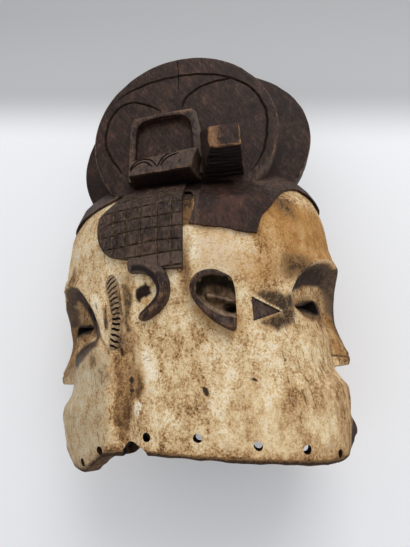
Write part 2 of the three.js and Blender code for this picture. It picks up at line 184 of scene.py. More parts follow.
# A closed solid: four-cornered faces between neighbouring rings of points, and a fan from each end ring
# to its pole, which is the ring's mean unless poles are given. The sign of its volume tells whether its
# faces have to be turned round. The surface is one for all, or one for each ring.
def solid(name, rings, surface=chalk, poles=None):
    rings = np.asarray(rings, float)
    count, columns = rings.shape[:2]
    points = np.concatenate([rings.reshape(-1, 3), poles or [rings[0].mean(0), rings[-1].mean(0)]])
    here = np.arange(columns)
    after = (here + 1) % columns
    base = np.arange(count - 1)[:, None] * columns
    quads = np.stack([base + here, base + columns + here, base + columns + after, base + after], -1)
    quads = quads.reshape(-1, 4)
    first, last = count * columns, count * columns + 1
    low = np.stack([np.full(columns, first), here, after], -1)
    high = np.stack([np.full(columns, last), (count - 1) * columns + after, (count - 1) * columns + here], -1)
    corners = points[np.concatenate([quads[:, [0, 1, 2]], quads[:, [0, 2, 3]], low, high])]
    volume = np.einsum("ij,ij->i", corners[:, 0], np.cross(corners[:, 1], corners[:, 2])).sum()
    order = slice(None, None, -1 if volume < 0 else 1)
    mesh = bpy.data.meshes.new(name)
    mesh.from_pydata(toRow(points).tolist(), [], sum((f[:, order].tolist() for f in (low, quads, high)), []))
    surfaces = np.repeat(np.broadcast_to(surface, count), columns)
    surfaces = np.concatenate([surfaces, surfaces[-columns:]]).astype(np.int32)
    mesh.polygons.foreach_set("material_index", surfaces)
    return newObject(name, mesh)


# Puts a mesh, a light or a camera into the scene.
def newObject(name, data):
    piece = bpy.data.objects.new(name, data)
    bpy.context.scene.collection.objects.link(piece)
    return piece


# Joins the tools to base, cuts them from it, or keeps what they share. The tools are used up.
def combine(base, operation, tools):
    group = bpy.data.collections.new("tools")
    for tool in tools:
        group.objects.link(tool)
    modifier = base.modifiers.new("carve", "BOOLEAN")
    modifier.operation = operation
    modifier.solver = "MANIFOLD"
    modifier.operand_type = "COLLECTION"
    modifier.collection = group
    modifier.material_mode = "INDEX"
    graph = bpy.context.evaluated_depsgraph_get()
    carved = bpy.data.meshes.new_from_object(base.evaluated_get(graph), depsgraph=graph)
    base.modifiers.clear()
    used = [base.data] + [tool.data for tool in tools]
    base.data = carved
    for tool in tools:
        bpy.data.objects.remove(tool)
    for mesh in used:
        bpy.data.meshes.remove(mesh)
    bpy.data.collections.remove(group)
    return base


# A flat outline as points at height z.
def atLevel(outline, z):
    return np.column_stack([outline, z + 0 * outline[:, 0]])


# An outline drawn in x and y, made solid from z = low to z = high. Its high edge is bevelled by a quarter
# circle, along which the outline shrinks towards its middle.
def prism(name, outline, low, high, surface=stain, bevel=0.0):
    p = np.array(outline, float)
    middle = p.mean(0)
    rings = [atLevel(p, low), atLevel(p, high - bevel)]
    if bevel:
        reach = np.linalg.norm(p - middle, axis=1)[:, None]
        for turned in (0.15 * math.pi, 0.325 * math.pi, 0.5 * math.pi):
            shrunk = middle + (p - middle) * (1 - bevel * (1 - math.cos(turned)) / reach)
            rings.append(atLevel(shrunk, high - bevel * (1 - math.sin(turned))))
    return solid(name, rings, surface, [[*middle, low], [*middle, high]])


# A solid along a path. Each place of the section is measured from the path, first across it and then
# outward.
def sweep(name, path, out, section, surface):
    across = unit(np.cross(np.gradient(path, axis=0), out))
    rings = path[:, None] + section[..., :1] * across[:, None] + section[..., 1:] * out[:, None]
    return solid(name, rings, surface)


# A V cut along a path, whose ends start at a share of its width and depth and grow to the whole.
def vCut(name, path, out, width, depth, ends, growth, surface=groove):
    share = np.linspace(0, 1, len(path))
    taper = np.minimum(1, ends + growth * np.minimum(share, 1 - share))
    section = np.array([[-width, depth], [width, depth], [0, -depth]])
    return sweep(name, path, out, section * taper[:, None, None], surface)


# The head: two faces back to back

head = {
    "crownStart": 215, "crownRise": 70, "crownFullness": 2.5,
    "crownSideStart": 204, "crownSideFullness": 1.08,
    "wall": 14, "cavityStart": 175, "cavityTop": 262, "cavityFullness": 2.4, "cavityReach": 129,
    # The mesh's spacing up the outside, closest at the nostrils, and its highest rows in the cavity
    "rowSpacing": [[20, 2.3], [56, 2.1], [58, 0.9], [73, 0.9], [76, 1.8], [92, 1.8], [96, 1.45], [158, 1.45],
                   [170, 2.4], [215, 2.6]],
    "cavityRows": [165, 180, 195, 209, 222, 233, 243, 251, 257, 261],
    # Each face's profile, as height and distance from the mid-axis
    "rightProfile": [[-28, 121], [-12, 128], [4, 132], [20, 134], [34, 136.5], [42, 137], [52, 131],
                     [61, 127], [80, 128], [118, 129], [138, 133], [158, 138.5], [175, 138.5], [200, 135.7],
                     [222, 131.5], [240, 127.5], [252, 124]],
    "leftProfile": [[-28, 116], [-12, 125], [0, 131], [20, 136], [33, 138], [39, 137], [52, 129], [61, 127],
                    [80, 127], [118, 128], [138, 131.5], [158, 134.5], [175, 134], [200, 129.5],
                    [222, 123.5], [240, 118.5], [252, 114]],
    "sideProfile": [[-28, 93], [0, 97], [40, 99], [120, 100], [170, 99], [200, 97], [222, 94], [252, 90]],
    "rightFullness": [[-28, 2.35], [20, 2.3], [60, 2.05], [110, 1.9], [160, 2], [230, 2.2]],
    "leftFullness": [[-28, 1.75], [20, 1.75], [60, 1.8], [110, 1.85], [160, 1.95], [215, 2.05], [250, 2.8]],
    "rightNose": [[50, 0], [60.5, 0.5], [62, 15], [69, 16.5], [80, 12.5], [92, 8.5], [104, 6], [118, 5.5],
                  [130, 5.5], [140, 6], [152, 6], [162, 3], [172, 0]],
    "leftNose": [[50, 0], [60.5, 0.5], [62, 15], [69, 16.5], [80, 12.5], [92, 8], [104, 6], [118, 6],
                 [130, 7.5], [140, 8.5], [150, 6.5], [160, 3], [172, 0]],
    "noseHalfWidth": [[55, 24], [66, 23], [80, 18], [100, 12], [120, 10], [140, 14], [156, 26], [185, 40]],
    # Outlines round each eye, as distance across from the nose and height
    "rightHollow": [[72.3, 112], [71.6, 124], [68.8, 135.5], [62.5, 145.3], [53, 151], [41.5, 153.5],
                    [27, 153.5], [15, 149], [10, 140], [8, 128], [8, 112], [11, 98], [20, 88], [34, 84],
                    [48, 87], [60, 97], [68, 105]],
    "leftHollow": [[78, 97], [77.5, 106], [75.5, 120], [71, 134], [64, 145.5], [54, 150], [42, 151.5],
                   [28, 150], [16, 145], [10, 136], [8, 124], [8, 108], [11, 94], [18, 82], [30, 74],
                   [44, 73], [57, 80], [67, 86], [75, 91]],
    "hollowDepth": 7.5,
    "rightLids": [[62, 113.5], [55, 118], [42.5, 121.5], [32, 121], [22, 113], [30, 103], [47.5, 99.5],
                  [57, 104]],
    "leftLids": [[64, 107], [58, 113], [48, 117.5], [36, 117.5], [26, 110], [32, 98], [46, 93.5], [58, 98]],
    "rightEye": [[57.3, 111.4], [48.8, 115.6], [42.5, 117.1], [40.1, 113.6], [40.9, 107.6], [46.7, 106.2],
                 [52.7, 108.1]],
    "leftEye": [[62, 107], [55, 109.5], [46, 111.3], [38, 111.3], [37, 108], [42, 104.5], [50, 104.2],
                [57, 105.2]],
    "valley": {"x": -54, "halfWidth": 20, "depth": 7},
    # Heights of the walls' and the chins' edge, and how it turns, as share through the wall and rise
    "rim": {"wall": 2.8, "slope": 0.115, "rightChin": -14, "leftChin": -12.6, "leftFarChin": -14,
            "roundedFrom": 2.2,
            "turn": [(0.03, 0.8), (0.1, 0.15), (0.3, 0), (0.6, 0), (0.88, 0.1), (0.97, 0.8)]},
    "hairLift": 3.0, "netLift": 5.5,
}


# The value for the right face, or for the left one where toward is below 0.
def byFace(toward, right, left):
    return np.where(toward > 0, right, left)


# The height's value on one of the curves that each face has of its own.
def faceCurve(name, toward, y):
    return byFace(toward, curve(head["right" + name], y), curve(head["left" + name], y))


# How far a place lies inside one of the outlines round its face's eyes; below 0 it is outside.
def intoOutline(name, x, y, z):
    return byFace(x, *(signedDistance(np.abs(z), y, head[face + name]) for face in ("right", "left")))


# The relief of both faces as a lift off the head: eye hollows, brows round them, noses that fall off to
# the sides as a power of the share of their width, lips, mouths and lids.
def faceCarving(x, y, z):
    across = np.abs(z)
    intoHollow, intoLids, intoEye = (intoOutline(name, x, y, z) for name in ("Hollow", "Lids", "Eye"))
    socket = head["hollowDepth"] * ramp(-0.5, 8, intoHollow) * ramp(70, 128, y)
    brow = (3 * hump(intoHollow, -3, 9) + 1.6 * hump(intoHollow, -0.7, 2.4)) * ramp(95, 125, y)
    overNose = np.clip(across / curve(head["noseHalfWidth"], y), 0, 1)
    nose = faceCurve("Nose", x, y) * (1 - overNose ** 1.7) ** 1.2
    wing = 1.3 * hump(y, 70.5, 2.4) * hump(across, 10, 16) * ramp(60, 62, y)
    lips = byFace(x, 8, 3) * hump(y, byFace(x, 3.5, 2), byFace(x, 20, 13)) * hump(across, 0, 30)
    mouth = 1.5 * hump(y, -1, 3.4) * hump(across, 0, 26)
    # The far brow of the right face bulges a little higher than the near one
    farBrow = 3 * spot(z, y, -26, 152, 22, wide=1.3) * (x > 40)
    lids = 2.6 * ramp(-1, 5, intoLids) - 0.8 * hump(intoLids, -1, 2.2) + 0.9 * hump(intoEye, -1.4, 2.2)
    return np.where(np.abs(x) > 40, brow - socket + nose - wing + lips - mouth + lids + farBrow, 0)


# The long shallow hollow between the left face and the near wall: a hump's section, fading out upward.
def valleyDepth(x, y, z):
    valley = head["valley"]
    return np.where(z > 0, valley["depth"] * hump(x, valley["x"], valley["halfWidth"]) * ramp(100, 80, y), 0)


# How far the crown has risen between start and its top, and the share that is left of a level section
# there, which shrinks as a superellipse does.
def crownShrink(y, start, fullness):
    rise = np.clip((y - start) / (head["crownStart"] + head["crownRise"] - start), 0, 1)
    return rise, (1 - rise ** fullness) ** (1 / fullness)


# The head's surface at an angle round it and a height, moved outward by lift and by the carving. Level
# sections are superellipses, each face with its own, that shrink to the crown. The outward direction is
# the section's normal, tipped upward on the crown.
def headPoint(angle, y, lift=0.0, carved=True):
    angle, y = np.broadcast_arrays(np.asarray(angle, float), np.asarray(y, float))
    cos, sin = np.cos(angle), np.sin(angle)
    rise, lengthShrink = crownShrink(y, head["crownStart"], head["crownFullness"])
    sideRise, widthShrink = crownShrink(y, head["crownSideStart"], head["crownSideFullness"])
    halfLength, halfWidth = faceCurve("Profile", cos, y), curve(head["sideProfile"], y)
    fullness = faceCurve("Fullness", cos, y)
    x = halfLength * lengthShrink * signedPower(cos, 2 / fullness)
    z = halfWidth * widthShrink * signedPower(sin, 2 / fullness)
    outX = signedPower(cos, 2 - 2 / fullness) / halfLength
    outZ = signedPower(sin, 2 - 2 / fullness) / halfWidth
    size = np.hypot(outX, outZ)
    outX, outZ = outX / size, outZ / size
    sideness = np.abs(outZ)
    level = blendTo(lengthShrink ** 1.5, 0.75, sideness)
    outY = blendTo(rise ** 1.5, 0.65 * np.minimum(sideRise * 4, 1), sideness)
    push = np.asarray(lift, float)
    if carved:
        push = push + faceCarving(x, y, z) - valleyDepth(x, y, z)
    return np.stack([x, y, z], -1) + unit(np.stack([outX * level, outY, outZ * level], -1)) * push[..., None]


# The share that is left of the cavity's level section at a height.
def cavityShrink(y):
    rise = np.clip((y - head["cavityStart"]) / (head["cavityTop"] - head["cavityStart"]), 0, 1)
    return (1 - rise ** head["cavityFullness"]) ** (1 / head["cavityFullness"])


# The inside at an angle and a height: the outside's superellipses less the wall, closing to the cavity's
# top.
def cavityPoint(angle, y):
    cos, sin = np.cos(angle), np.sin(angle)
    shrink, fullness = cavityShrink(y), faceCurve("Fullness", cos, y)
    halfLength = np.minimum(faceCurve("Profile", cos, y), head["cavityReach"]) - head["wall"]
    halfWidth = curve(head["sideProfile"], y) - head["wall"]
    x = halfLength * shrink * signedPower(cos, 2 / fullness)
    z = halfWidth * shrink * signedPower(sin, 2 / fullness)
    return np.stack(np.broadcast_arrays(x, y, z), -1)


# The rim's height: the side walls are cut higher than the chins, and their edge slopes down to the right.
# The left chin hangs lower on its far side.
def rimHeight(x, z):
    rim = head["rim"]
    wall = rim["wall"] - rim["slope"] * (np.clip(x, -60, 95) + 25)
    chin = np.where(np.abs(x) > 52, ramp(88, 52, np.abs(z)), 0)
    leftChin = blendTo(rim["leftChin"], rim["leftFarChin"], ramp(-12, -50, z))
    return blendTo(wall, byFace(x, rim["rightChin"], leftChin), chin)


# Values from start to end whose steps follow spacing(value): even steps of the running sum of 1 /
# spacing.
def spaced(start, end, spacing):
    at = np.linspace(start, end, 4000)
    grown = runningSum(np.abs(np.diff(at)) / spacing(at)[1:])
    return np.interp(np.linspace(0, grown[-1], int(round(grown[-1])) + 1), grown, at)


# Angles round the head, closest together where each face is carved and on the near side, spaced in the
# same way.
def columnAngles(face, side, farSide, detail=1.0):
    angle = np.linspace(0, 2 * math.pi, 8000)
    ring = headPoint(angle, 110.0, carved=False)
    step = np.linalg.norm(np.diff(ring, axis=0), axis=1)
    middle = (ring[1:] + ring[:-1]) / 2
    spacing = blendTo(side, face, ramp(78, 92, np.abs(middle[:, 0])))
    spacing = spacing * blendTo(farSide, 1.0, ramp(-12, 0, middle[:, 2])) / detail
    grown = runningSum(step / spacing)
    count = int(round(grown[-1]))
    return np.interp(np.arange(count) * grown[-1] / count, grown, angle)


# Heights over the crown, from its top down, at even angles of its superellipse.
def crownHeights(steps):
    tilt = (math.pi / 2) * (1 - np.arange(1, steps + 1) / (steps + 0.5))
    return head["crownStart"] + head["crownRise"] * np.sin(tilt) ** (2 / head["crownFullness"])


# The hollow head as one closed skin: down the outside, round the rim and up the inside.
def headSolid():
    angle = columnAngles(face=1.45, side=2.3, farSide=1.9)
    foot = head["rowSpacing"][0][0]
    spacing = lambda y: np.interp(y, *np.transpose(head["rowSpacing"]))
    heights = np.concatenate([crownHeights(15), spaced(head["crownStart"], foot, spacing)])
    edge = headPoint(angle, 0.0)
    rim = rimHeight(edge[:, 0], edge[:, 2])
    rim = rim + 0.7 * np.abs(unevenness(edge, 30, 5)) + 0.15 * np.abs(unevenness(edge, 9, 6))
    rimFoot = rim + head["rim"]["roundedFrom"]
    falling, rising = np.linspace(0, 1, 15)[1:, None], np.linspace(0, 1, 17)[1:, None]
    outer = headPoint(angle[None], heights[:, None])
    lower = headPoint(angle[None], blendTo(float(foot), rimFoot, falling))
    outside, within = headPoint(angle, rim), cavityPoint(angle, rim)
    turned = [blendTo(outside, within, share) + np.array([0, raised, 0])
              for share, raised in head["rim"]["turn"]]
    crown = np.array(head["cavityRows"])[:, None] + 0 * angle[None]
    inner = cavityPoint(angle[None], np.concatenate([blendTo(rimFoot, 150.0, rising), crown]))
    # The wearer's side is left as the adze cut it, in flutes
    hollowed = np.cos(angle[None] * 22 + 0.07 * inner[..., 1]) * 0.5 + unevenness(inner, 22, 8) * 0.5
    inner = inner * (1 + hollowed[..., None] * np.array([1, 0, 1]) / 90)
    # Hand carving leaves the outside a little uneven, less so near the crown's middle
    out = np.concatenate([outer, lower])
    carved = 0.35 * unevenness(out, 34, 1) + 0.16 * unevenness(out * [1, 0.35, 1], 9, 2)
    away = unit(out * [1, 0, 1])
    out = out + away * carved[..., None] * ramp(0, 30, np.hypot(out[..., 0], out[..., 2]))[..., None]
    rings = np.concatenate([out, turned, inner])
    place = np.arange(len(rings))
    surfaces = np.select([place <= len(out), place < len(out) + len(turned)], [chalk, raw], inside)
    poles = [[0, headPoint(0.3, 284.9)[1], 0], [0, head["cavityTop"], 0]]
    return solid("helmet_mask_surface", rings, surfaces, poles)


# The near side of the plain head as a height over x and y.
def sideHeight(x, y):
    lengthShrink = crownShrink(y, head["crownStart"], head["crownFullness"])[1]
    widthShrink = crownShrink(y, head["crownSideStart"], head["crownSideFullness"])[1]
    fullness = faceCurve("Fullness", x, y)
    across = np.clip(np.abs(x) / (faceCurve("Profile", x, y) * lengthShrink), 0, 0.995)
    halfWidth = curve(head["sideProfile"], y) * widthShrink
    return halfWidth * (1 - across ** fullness) ** (1 / fullness) - valleyDepth(x, y, 1.0)


# Places on the near side, lifted off it, and its outward direction, from the height's slopes over 1 mm.
def sideSurface(x, y, lift=0.0):
    x, y = np.broadcast_arrays(np.asarray(x, float), np.asarray(y, float))
    z = sideHeight(x, y)
    slopeX = sideHeight(x + 0.5, y) - sideHeight(x - 0.5, y)
    slopeY = sideHeight(x, y + 0.5) - sideHeight(x, y - 0.5)
    out = unit(np.stack([-slopeX, -slopeY, np.ones_like(z)], -1))
    return np.stack([x, y, z], -1) + out * np.asarray(lift, float)[..., None], out


# A closed layer of the head above a height, from innerLift to outerLift off its skin.
def headLayer(name, outerLift, innerLift, low, detail=0.62):
    angle = columnAngles(face=1.6, side=1.7, farSide=1.8, detail=detail)
    heights = np.concatenate([crownHeights(10), np.arange(head["crownStart"], low, -3.2), [low]])
    outer = headPoint(angle[None], heights[:, None], outerLift)
    inner = headPoint(angle[None], heights[::-1, None], innerLift)
    outer = outer + unit(outer) * (0.22 * unevenness(outer, 20, 11))[..., None]
    top = head["crownStart"] + head["crownRise"]
    poles = [[0, top + outerLift, 0], [0, top + innerLift, 0]]
    return solid(name, np.concatenate([outer, inner]), stain, poles)


hair = {
    # The edge of the raised hair, from the right face's midline over the near side to the left one's
    "capEdge": [[119, 226.5], [110, 230.5], [101.4, 226.7], [94.4, 220.5], [86.8, 209.2], [79.2, 197],
                [71.5, 188], [65, 171]],
    "capFront": [[65, 171], [54, 172.5], [44, 175], [33, 177], [23, 179], [10, 182]],
    "capSide": [[10, 182], [13, 191], [15.5, 202], [14, 211], [11, 219]],
    "browEdge": [[160, 215], [140, 216], [131, 218], [125, 222], [119, 226.5]],
    "leftEdge": [[-62, 236], [-70, 231], [-79.4, 227], [-92.5, 223], [-104, 220.5], [-112, 217.5],
                 [-160, 215]],
    "farEdge": [[160, 215], [130, 219], [118, 226], [110, 230], [101, 226], [92, 217], [77, 197], [65, 178],
                [30, 175], [0, 174], [-30, 175], [-65, 178], [-77, 200], [-91, 218], [-104, 217],
                [-112, 213], [-160, 210]],
    "netRight": [[3, 143], [3.6, 160], [4.6, 185], [5, 205], [5, 250]],
    "netLeft": [[-50, 250], [-56, 230], [-62.9, 215.4], [-67.6, 208.6], [-72.8, 202], [-74.7, 193.7],
                [-74.2, 183.6], [-71, 173.2], [-64, 163.9], [-50.8, 158.4], [-43.4, 156.3], [-30, 151],
                [-10, 143.5]],
    "netColumns": [-68, -56, -45, -30.5, -16, -4.5], "netRows": [145.5, 157, 168, 180, 191, 202, 213],
    "netRise": -0.01, "netGroove": (1.8, 2.3),
}
hair["netOutline"] = hair["netRight"] + hair["netLeft"]


# A layer of the head, kept only inside an outline between two levels.
def layerInside(name, layer, outline, low, high):
    return combine(headLayer(name, *layer), "INTERSECT", [prism("over_" + name, outline, low, high)])


# The raised hair: layers of the head, kept only inside outlines. A slow and a quick wave make the near
# edge uneven.
def hairPieces():
    edges = ("browEdge", "capEdge", "capFront", "capSide", "leftEdge")
    near = np.vstack([smoothLine(hair[edge]) for edge in edges])
    near[:, 1] += 0.35 * np.sin(near[:, 0] * 0.21) + 0.2 * np.sin(near[:, 0] * 0.73 + 1)
    roof = [[-160, 300], [160, 300]]
    far = smoothLine(hair["farEdge"], 3)
    net = np.vstack([smoothLine(hair["netRight"]), smoothLine(hair["netLeft"])])
    return [layerInside("hair_near", (head["hairLift"], -4, 150), np.vstack([near, roof]), 0, 140),
            layerInside("hair_far", (head["hairLift"], -4, 150), np.vstack([far, roof]), -140, 0),
            layerInside("net", (head["netLift"], -4, 132, 0.8), net, 20, 140)]


# A V cut along a line over the near side.
def surfaceGroove(name, x, y, lift, width, depth, surface=groove):
    path, out = sideSurface(x, y, lift)
    return vCut(name, path, out, width, depth, 0.25, 6, surface)


# The net's lines wave a little, as sines of the way along them. They start at the net's lower edge.
def netGrooves():
    width, depth = hair["netGroove"]
    lift, step = head["netLift"], 3.0
    edge = hair["netLeft"][6:]
    sideways = [[up, across] for across, up in edge[::-1]]
    cuts = []
    for i, at in enumerate(hair["netColumns"]):
        y = np.arange(float(curve(edge, at)) + 1, 232, step)
        x = at + 0.5 * np.sin(y * 0.09 + i * 2) + 0.012 * (y - 185) * (1 + i % 2)
        cuts.append(surfaceGroove("net_column", x, y, lift, width, depth, netCut))
    for i, at in enumerate(hair["netRows"]):
        x = np.arange(float(curve(sideways, at)) + 1, 10, step)
        y = at + hair["netRise"] * x + 0.5 * np.sin(x * 0.11 + i * 1.7)
        cuts.append(surfaceGroove("net_row", x, y, lift, width, depth, netCut))
    return cuts


# Scars, as a long leaf of slanting cuts on the left cheekbone

leaf = {
    # The leaf's two sides, as height and place
    "left": [[84, -64.5], [88, -65.6], [98, -63], [109.7, -61.8], [118.4, -63], [130, -65], [140.4, -67.3],
             [147.5, -62.5]],
    "right": [[84, -61], [86.4, -57], [97, -52], [110.6, -50.4], [120.2, -51.8], [132.5, -53.2], [143, -56],
              [147.5, -60.8]],
    "foot": 84, "top": 147.5, "dustyFrom": 0.45,
    "lift": 1.5, "rungs": 14, "firstRung": 87.5, "lastRung": 143, "topSlope": 0.9, "footSlope": -0.5,
    "cut": (2.1, 1.9),
}


# A low pillow between the leaf's two sides: flat in the middle and rounded off by the fourth power, with
# a bead along its edge.
def leafPiece():
    y = np.linspace(leaf["foot"], leaf["top"], 90)[:, None]
    share = np.linspace(0, 1, 25)[None]
    x = blendTo(curve(leaf["left"], y), curve(leaf["right"], y), share)
    edge = 2 * np.abs(share - 0.5)
    ends = ramp(leaf["foot"], leaf["foot"] + 4, y) * ramp(leaf["top"], leaf["top"] - 4.5, y)
    lift = leaf["lift"] * (1 - edge ** 4) * ends + 0.5 * hump(edge, 0.9, 0.2) + 0.2
    top, _ = sideSurface(x, y + 0 * x, lift)
    under, _ = sideSurface(x, y + 0 * x, -4 + 0 * lift)
    return solid("leaf", np.concatenate([top, under[:, ::-1]], axis=1))


# The cuts fan out: they rise to the right at the top, lie level in the middle and fall to the right at
# the foot.
def leafCuts():
    width, depth = leaf["cut"]
    cuts = []
    for k in range(leaf["rungs"]):
        share = k / (leaf["rungs"] - 1)
        at = blendTo(leaf["firstRung"], leaf["lastRung"], share)
        left, right = float(curve(leaf["left"], at)) + 1.2, float(curve(leaf["right"], at)) - 1.2
        x = np.linspace(left, right, 9)
        slope = blendTo(leaf["footSlope"], leaf["topSlope"], share ** 1.3)
        y = at + slope * (x - (left + right) / 2) + 0.3 * np.sin(x * 1.1 + k)
        # The lower cuts take the dark cut colour, as painted shade between the ribs, and the upper ones pale
        # dust
        surface = groove if share < leaf["dustyFrom"] else netCut
        cuts.append(surfaceGroove("scar", x, y, leaf["lift"], width * (1 - 0.25 * share), depth, surface))
    return cuts


# A three-cornered sunk field between the ear and the eye
temple = {"corners": [[55.6, 117.8], [78.4, 105.4], [55.3, 97.7]], "depth": 1.3}


# The field's floor follows the head: the tool is a layer of the head, cut off by the three corners.
def templeCut():
    return layerInside("temple", (3, -temple["depth"], 92, 0.8), temple["corners"], 40, 130)


# Ears

cupEar = {
    "outline": [[42.4, 97], [42.9, 110], [42.3, 128.5], [35, 135.2], [27, 138.6], [18, 137.6], [11.6, 133],
                [8.4, 125.5], [10.2, 116.5], [15.2, 108.5], [23.8, 99.3], [33, 93], [38.5, 90.4],
                [41.4, 91.5]],
    "bowl": [[45, 98], [45, 112], [44, 127], [36.5, 131.4], [27.5, 134.2], [19.4, 133], [14, 128.5],
             [12.4, 121.3], [16.2, 113.9], [22.3, 107.4], [32.2, 101.2]],
    "fold": [[14, 114.5], [23, 108.5], [33, 103.5], [44, 99.5]],
    "tongue": [[22, 119], [31, 116.5], [44, 111]],
    "middle": (28.0, 115.0), "root": 84, "height": 111.5, "floor": 95.5,
    # How the rim turns in, as inset and drop
    "rim": [(0, 5), (0.2, 2.2), (0.8, 0.7), (1.9, 0.1), (3.2, 0), (4.4, 0.4)],
}
bandEar = {
    "path": [[-41, 150.8], [-34, 150.6], [-26, 148], [-18.3, 141.6], [-13.6, 131.5], [-14, 121.5],
             [-19.5, 114], [-26, 109.2], [-33.5, 105.8]],
    # Along the path, as share and size; the root is its depth in the head
    "root": 6,
    "halfWidth": [[0, 6.6], [0.1, 7.4], [0.3, 6.8], [0.6, 5], [0.9, 4.4], [0.97, 3.4], [1, 2]],
    "height": [[0, 8], [0.3, 9.2], [0.8, 9.2], [0.95, 7.5], [1, 5]],
}


# The cup ear's outside, as rings that rise from the head and turn in over its rim, and the scoop that
# cuts its bowl: a floor with two folds that run down to the right, under straight sides.
def cupEarPieces():
    outline, bowl = outlineRing(cupEar["outline"], 96), outlineRing(cupEar["bowl"], 96)
    middle = np.array(cupEar["middle"])
    top = cupEar["height"] - 0.11 * np.clip(outline[:, 0] - 8, 0, 40) + 0.35 * np.sin(outline[:, 1] * 0.3)
    toward = unit(middle - outline)
    rings = [atLevel(outline, cupEar["root"])]
    rings += [atLevel(outline + toward * inset, top - drop) for inset, drop in cupEar["rim"]]
    rings += [atLevel(blendTo(outline, middle, share), top - 2) for share in (0.4, 0.7)]
    shell = solid("cup_ear", rings, stain, [[*middle, cupEar["root"]], [*middle, 107]])
    shares = np.linspace(0.04, 1, 26)[:, None, None]
    x, y = np.moveaxis(middle + (bowl - middle) * shares, -1, 0)
    fold, tongue = lineDistance(x, y, cupEar["fold"]), lineDistance(x, y, cupEar["tongue"])
    depth = cupEar["floor"] + 7 * hump(fold, 0, 5.5) + 6.5 * hump(tongue, 0, 4.2) + 0.09 * (middle[0] - x)
    depth = depth - 7 * spot(x, y, 38, 108.5, 5, wide=1.6) - 4 * spot(x, y, 30, 127, 14)
    depth = depth + 6 * ramp(0.72, 1, shares[..., 0]) ** 2
    depth = depth + 0.5 * unevenness(np.stack([x, y, 0 * x], -1), 6, 4)
    walls = [atLevel(bowl, depth[-1] + 2), atLevel(bowl, 114), atLevel(blendTo(bowl, middle, 0.5), 118)]
    poles = [[*middle, depth[0].mean()], [*middle, 118]]
    return shell, solid("ear_bowl", np.concatenate([np.stack([x, y, depth], -1), walls]), bowlWood, poles)


# The band ear: a rounded section, a superellipse, swept along its path over the head.
def bandEarPiece():
    line = smoothLine(bandEar["path"], 1.2)
    share = np.linspace(0, 1, len(line))
    base, out = sideSurface(line[:, 0], line[:, 1])
    halfWidth, height = curve(bandEar["halfWidth"], share)[:, None], curve(bandEar["height"], share)[:, None]
    turn = np.linspace(0, 2 * math.pi, 28, endpoint=False)
    u, v = signedPower(np.cos(turn), 0.62), signedPower(np.sin(turn), 0.62)
    # A ridge runs along the middle and the side towards the pit falls away
    dip = 1 - (0.16 * ramp(0.1, 0.9, u) + 0.3 * ramp(-0.1, -0.9, u)) * (v > 0)
    root = bandEar["root"]
    section = np.stack([halfWidth * u, (height + root) / 2 * v * dip + (height - root) / 2], -1)
    return sweep("band_ear", base, out, section, stain)


# Crest

disc = {"x": 4, "y": 302, "long": 97.5, "short": 94, "tilt": 32, "front": 56, "back": 34, "bevel": 5.2}
plate = {"x": 9.5, "y": 306, "long": 131, "short": 103, "tilt": 14, "half": 12, "bevel": 3.0}
discLines = {
    "band": [[-66, 352], [-56, 359], [-30, 368.5], [1, 372], [29, 370], [55, 361.5], [76, 345], [86.5, 324],
             [89, 308], [85.5, 283], [79, 264], [69, 250]],
    "rightLobe": [[3, 331], [6, 339], [12.5, 347.5], [28, 356], [47, 359.5], [58, 359.5]],
    "leftLobe": [[-61, 262], [-66, 270], [-74, 284], [-79, 300], [-77.5, 318], [-72, 333], [-61, 344],
                 [-50, 346.5], [-40, 344], [-29, 338], [-19, 331]],
    "crack": [[2.4, 399], [1, 387], [1.5, 372], [0.2, 352]],
    "width": 2.9, "depth": 1.9,
}
arch = {
    "outer": [[-53, 247], [-52, 276], [-50, 314], [-46, 319.5], [-20, 322.5], [14, 323.5], [18.5, 319],
              [21, 305], [22, 298], [22, 249]],
    "inner": [[-46, 257], [-45, 285], [-43.5, 304], [-40, 312], [-31, 316.3], [-12, 318.2], [4, 317],
              [10.5, 311], [13, 303], [14, 280], [14, 257]],
    "front": 64,
}
book = {
    "base": [[-47, 239.5], [21, 240.5], [22, 265], [-47, 258]],
    "near": [[-47, 242], [11.5, 244.5], [20, 264.5], [-46, 257.5]],
    "front": 84,
    "pages": [[[-19, 248.5], [-24.5, 256], [-32, 257.6], [-40, 255.5], [-45.5, 248]],
              [[-23, 249], [-29, 254], [-35, 254.6], [-41, 251.5], [-45, 246]],
              [[-19, 248.5], [-15, 255.5], [-9, 260.5], [-1, 262.8]],
              [[-16, 249], [-12, 254.5], [-6, 258.5], [2, 260.5]]],
}
stump = {
    "end": [32, 59.3, 246, 267], "base": [17, 60.5, 245, 303], "from": 50, "to": 108, "corner": 2.2,
    "closing": [(0.03, 0.4), (0.08, 0), (0.2, 0), (0.35, 0.05), (0.5, 0.1), (0.7, 0.1), (0.88, 0.1)],
    "farEnd": [-24, 24, 246, 272], "farBase": [-24, 24, 246, 290],
}


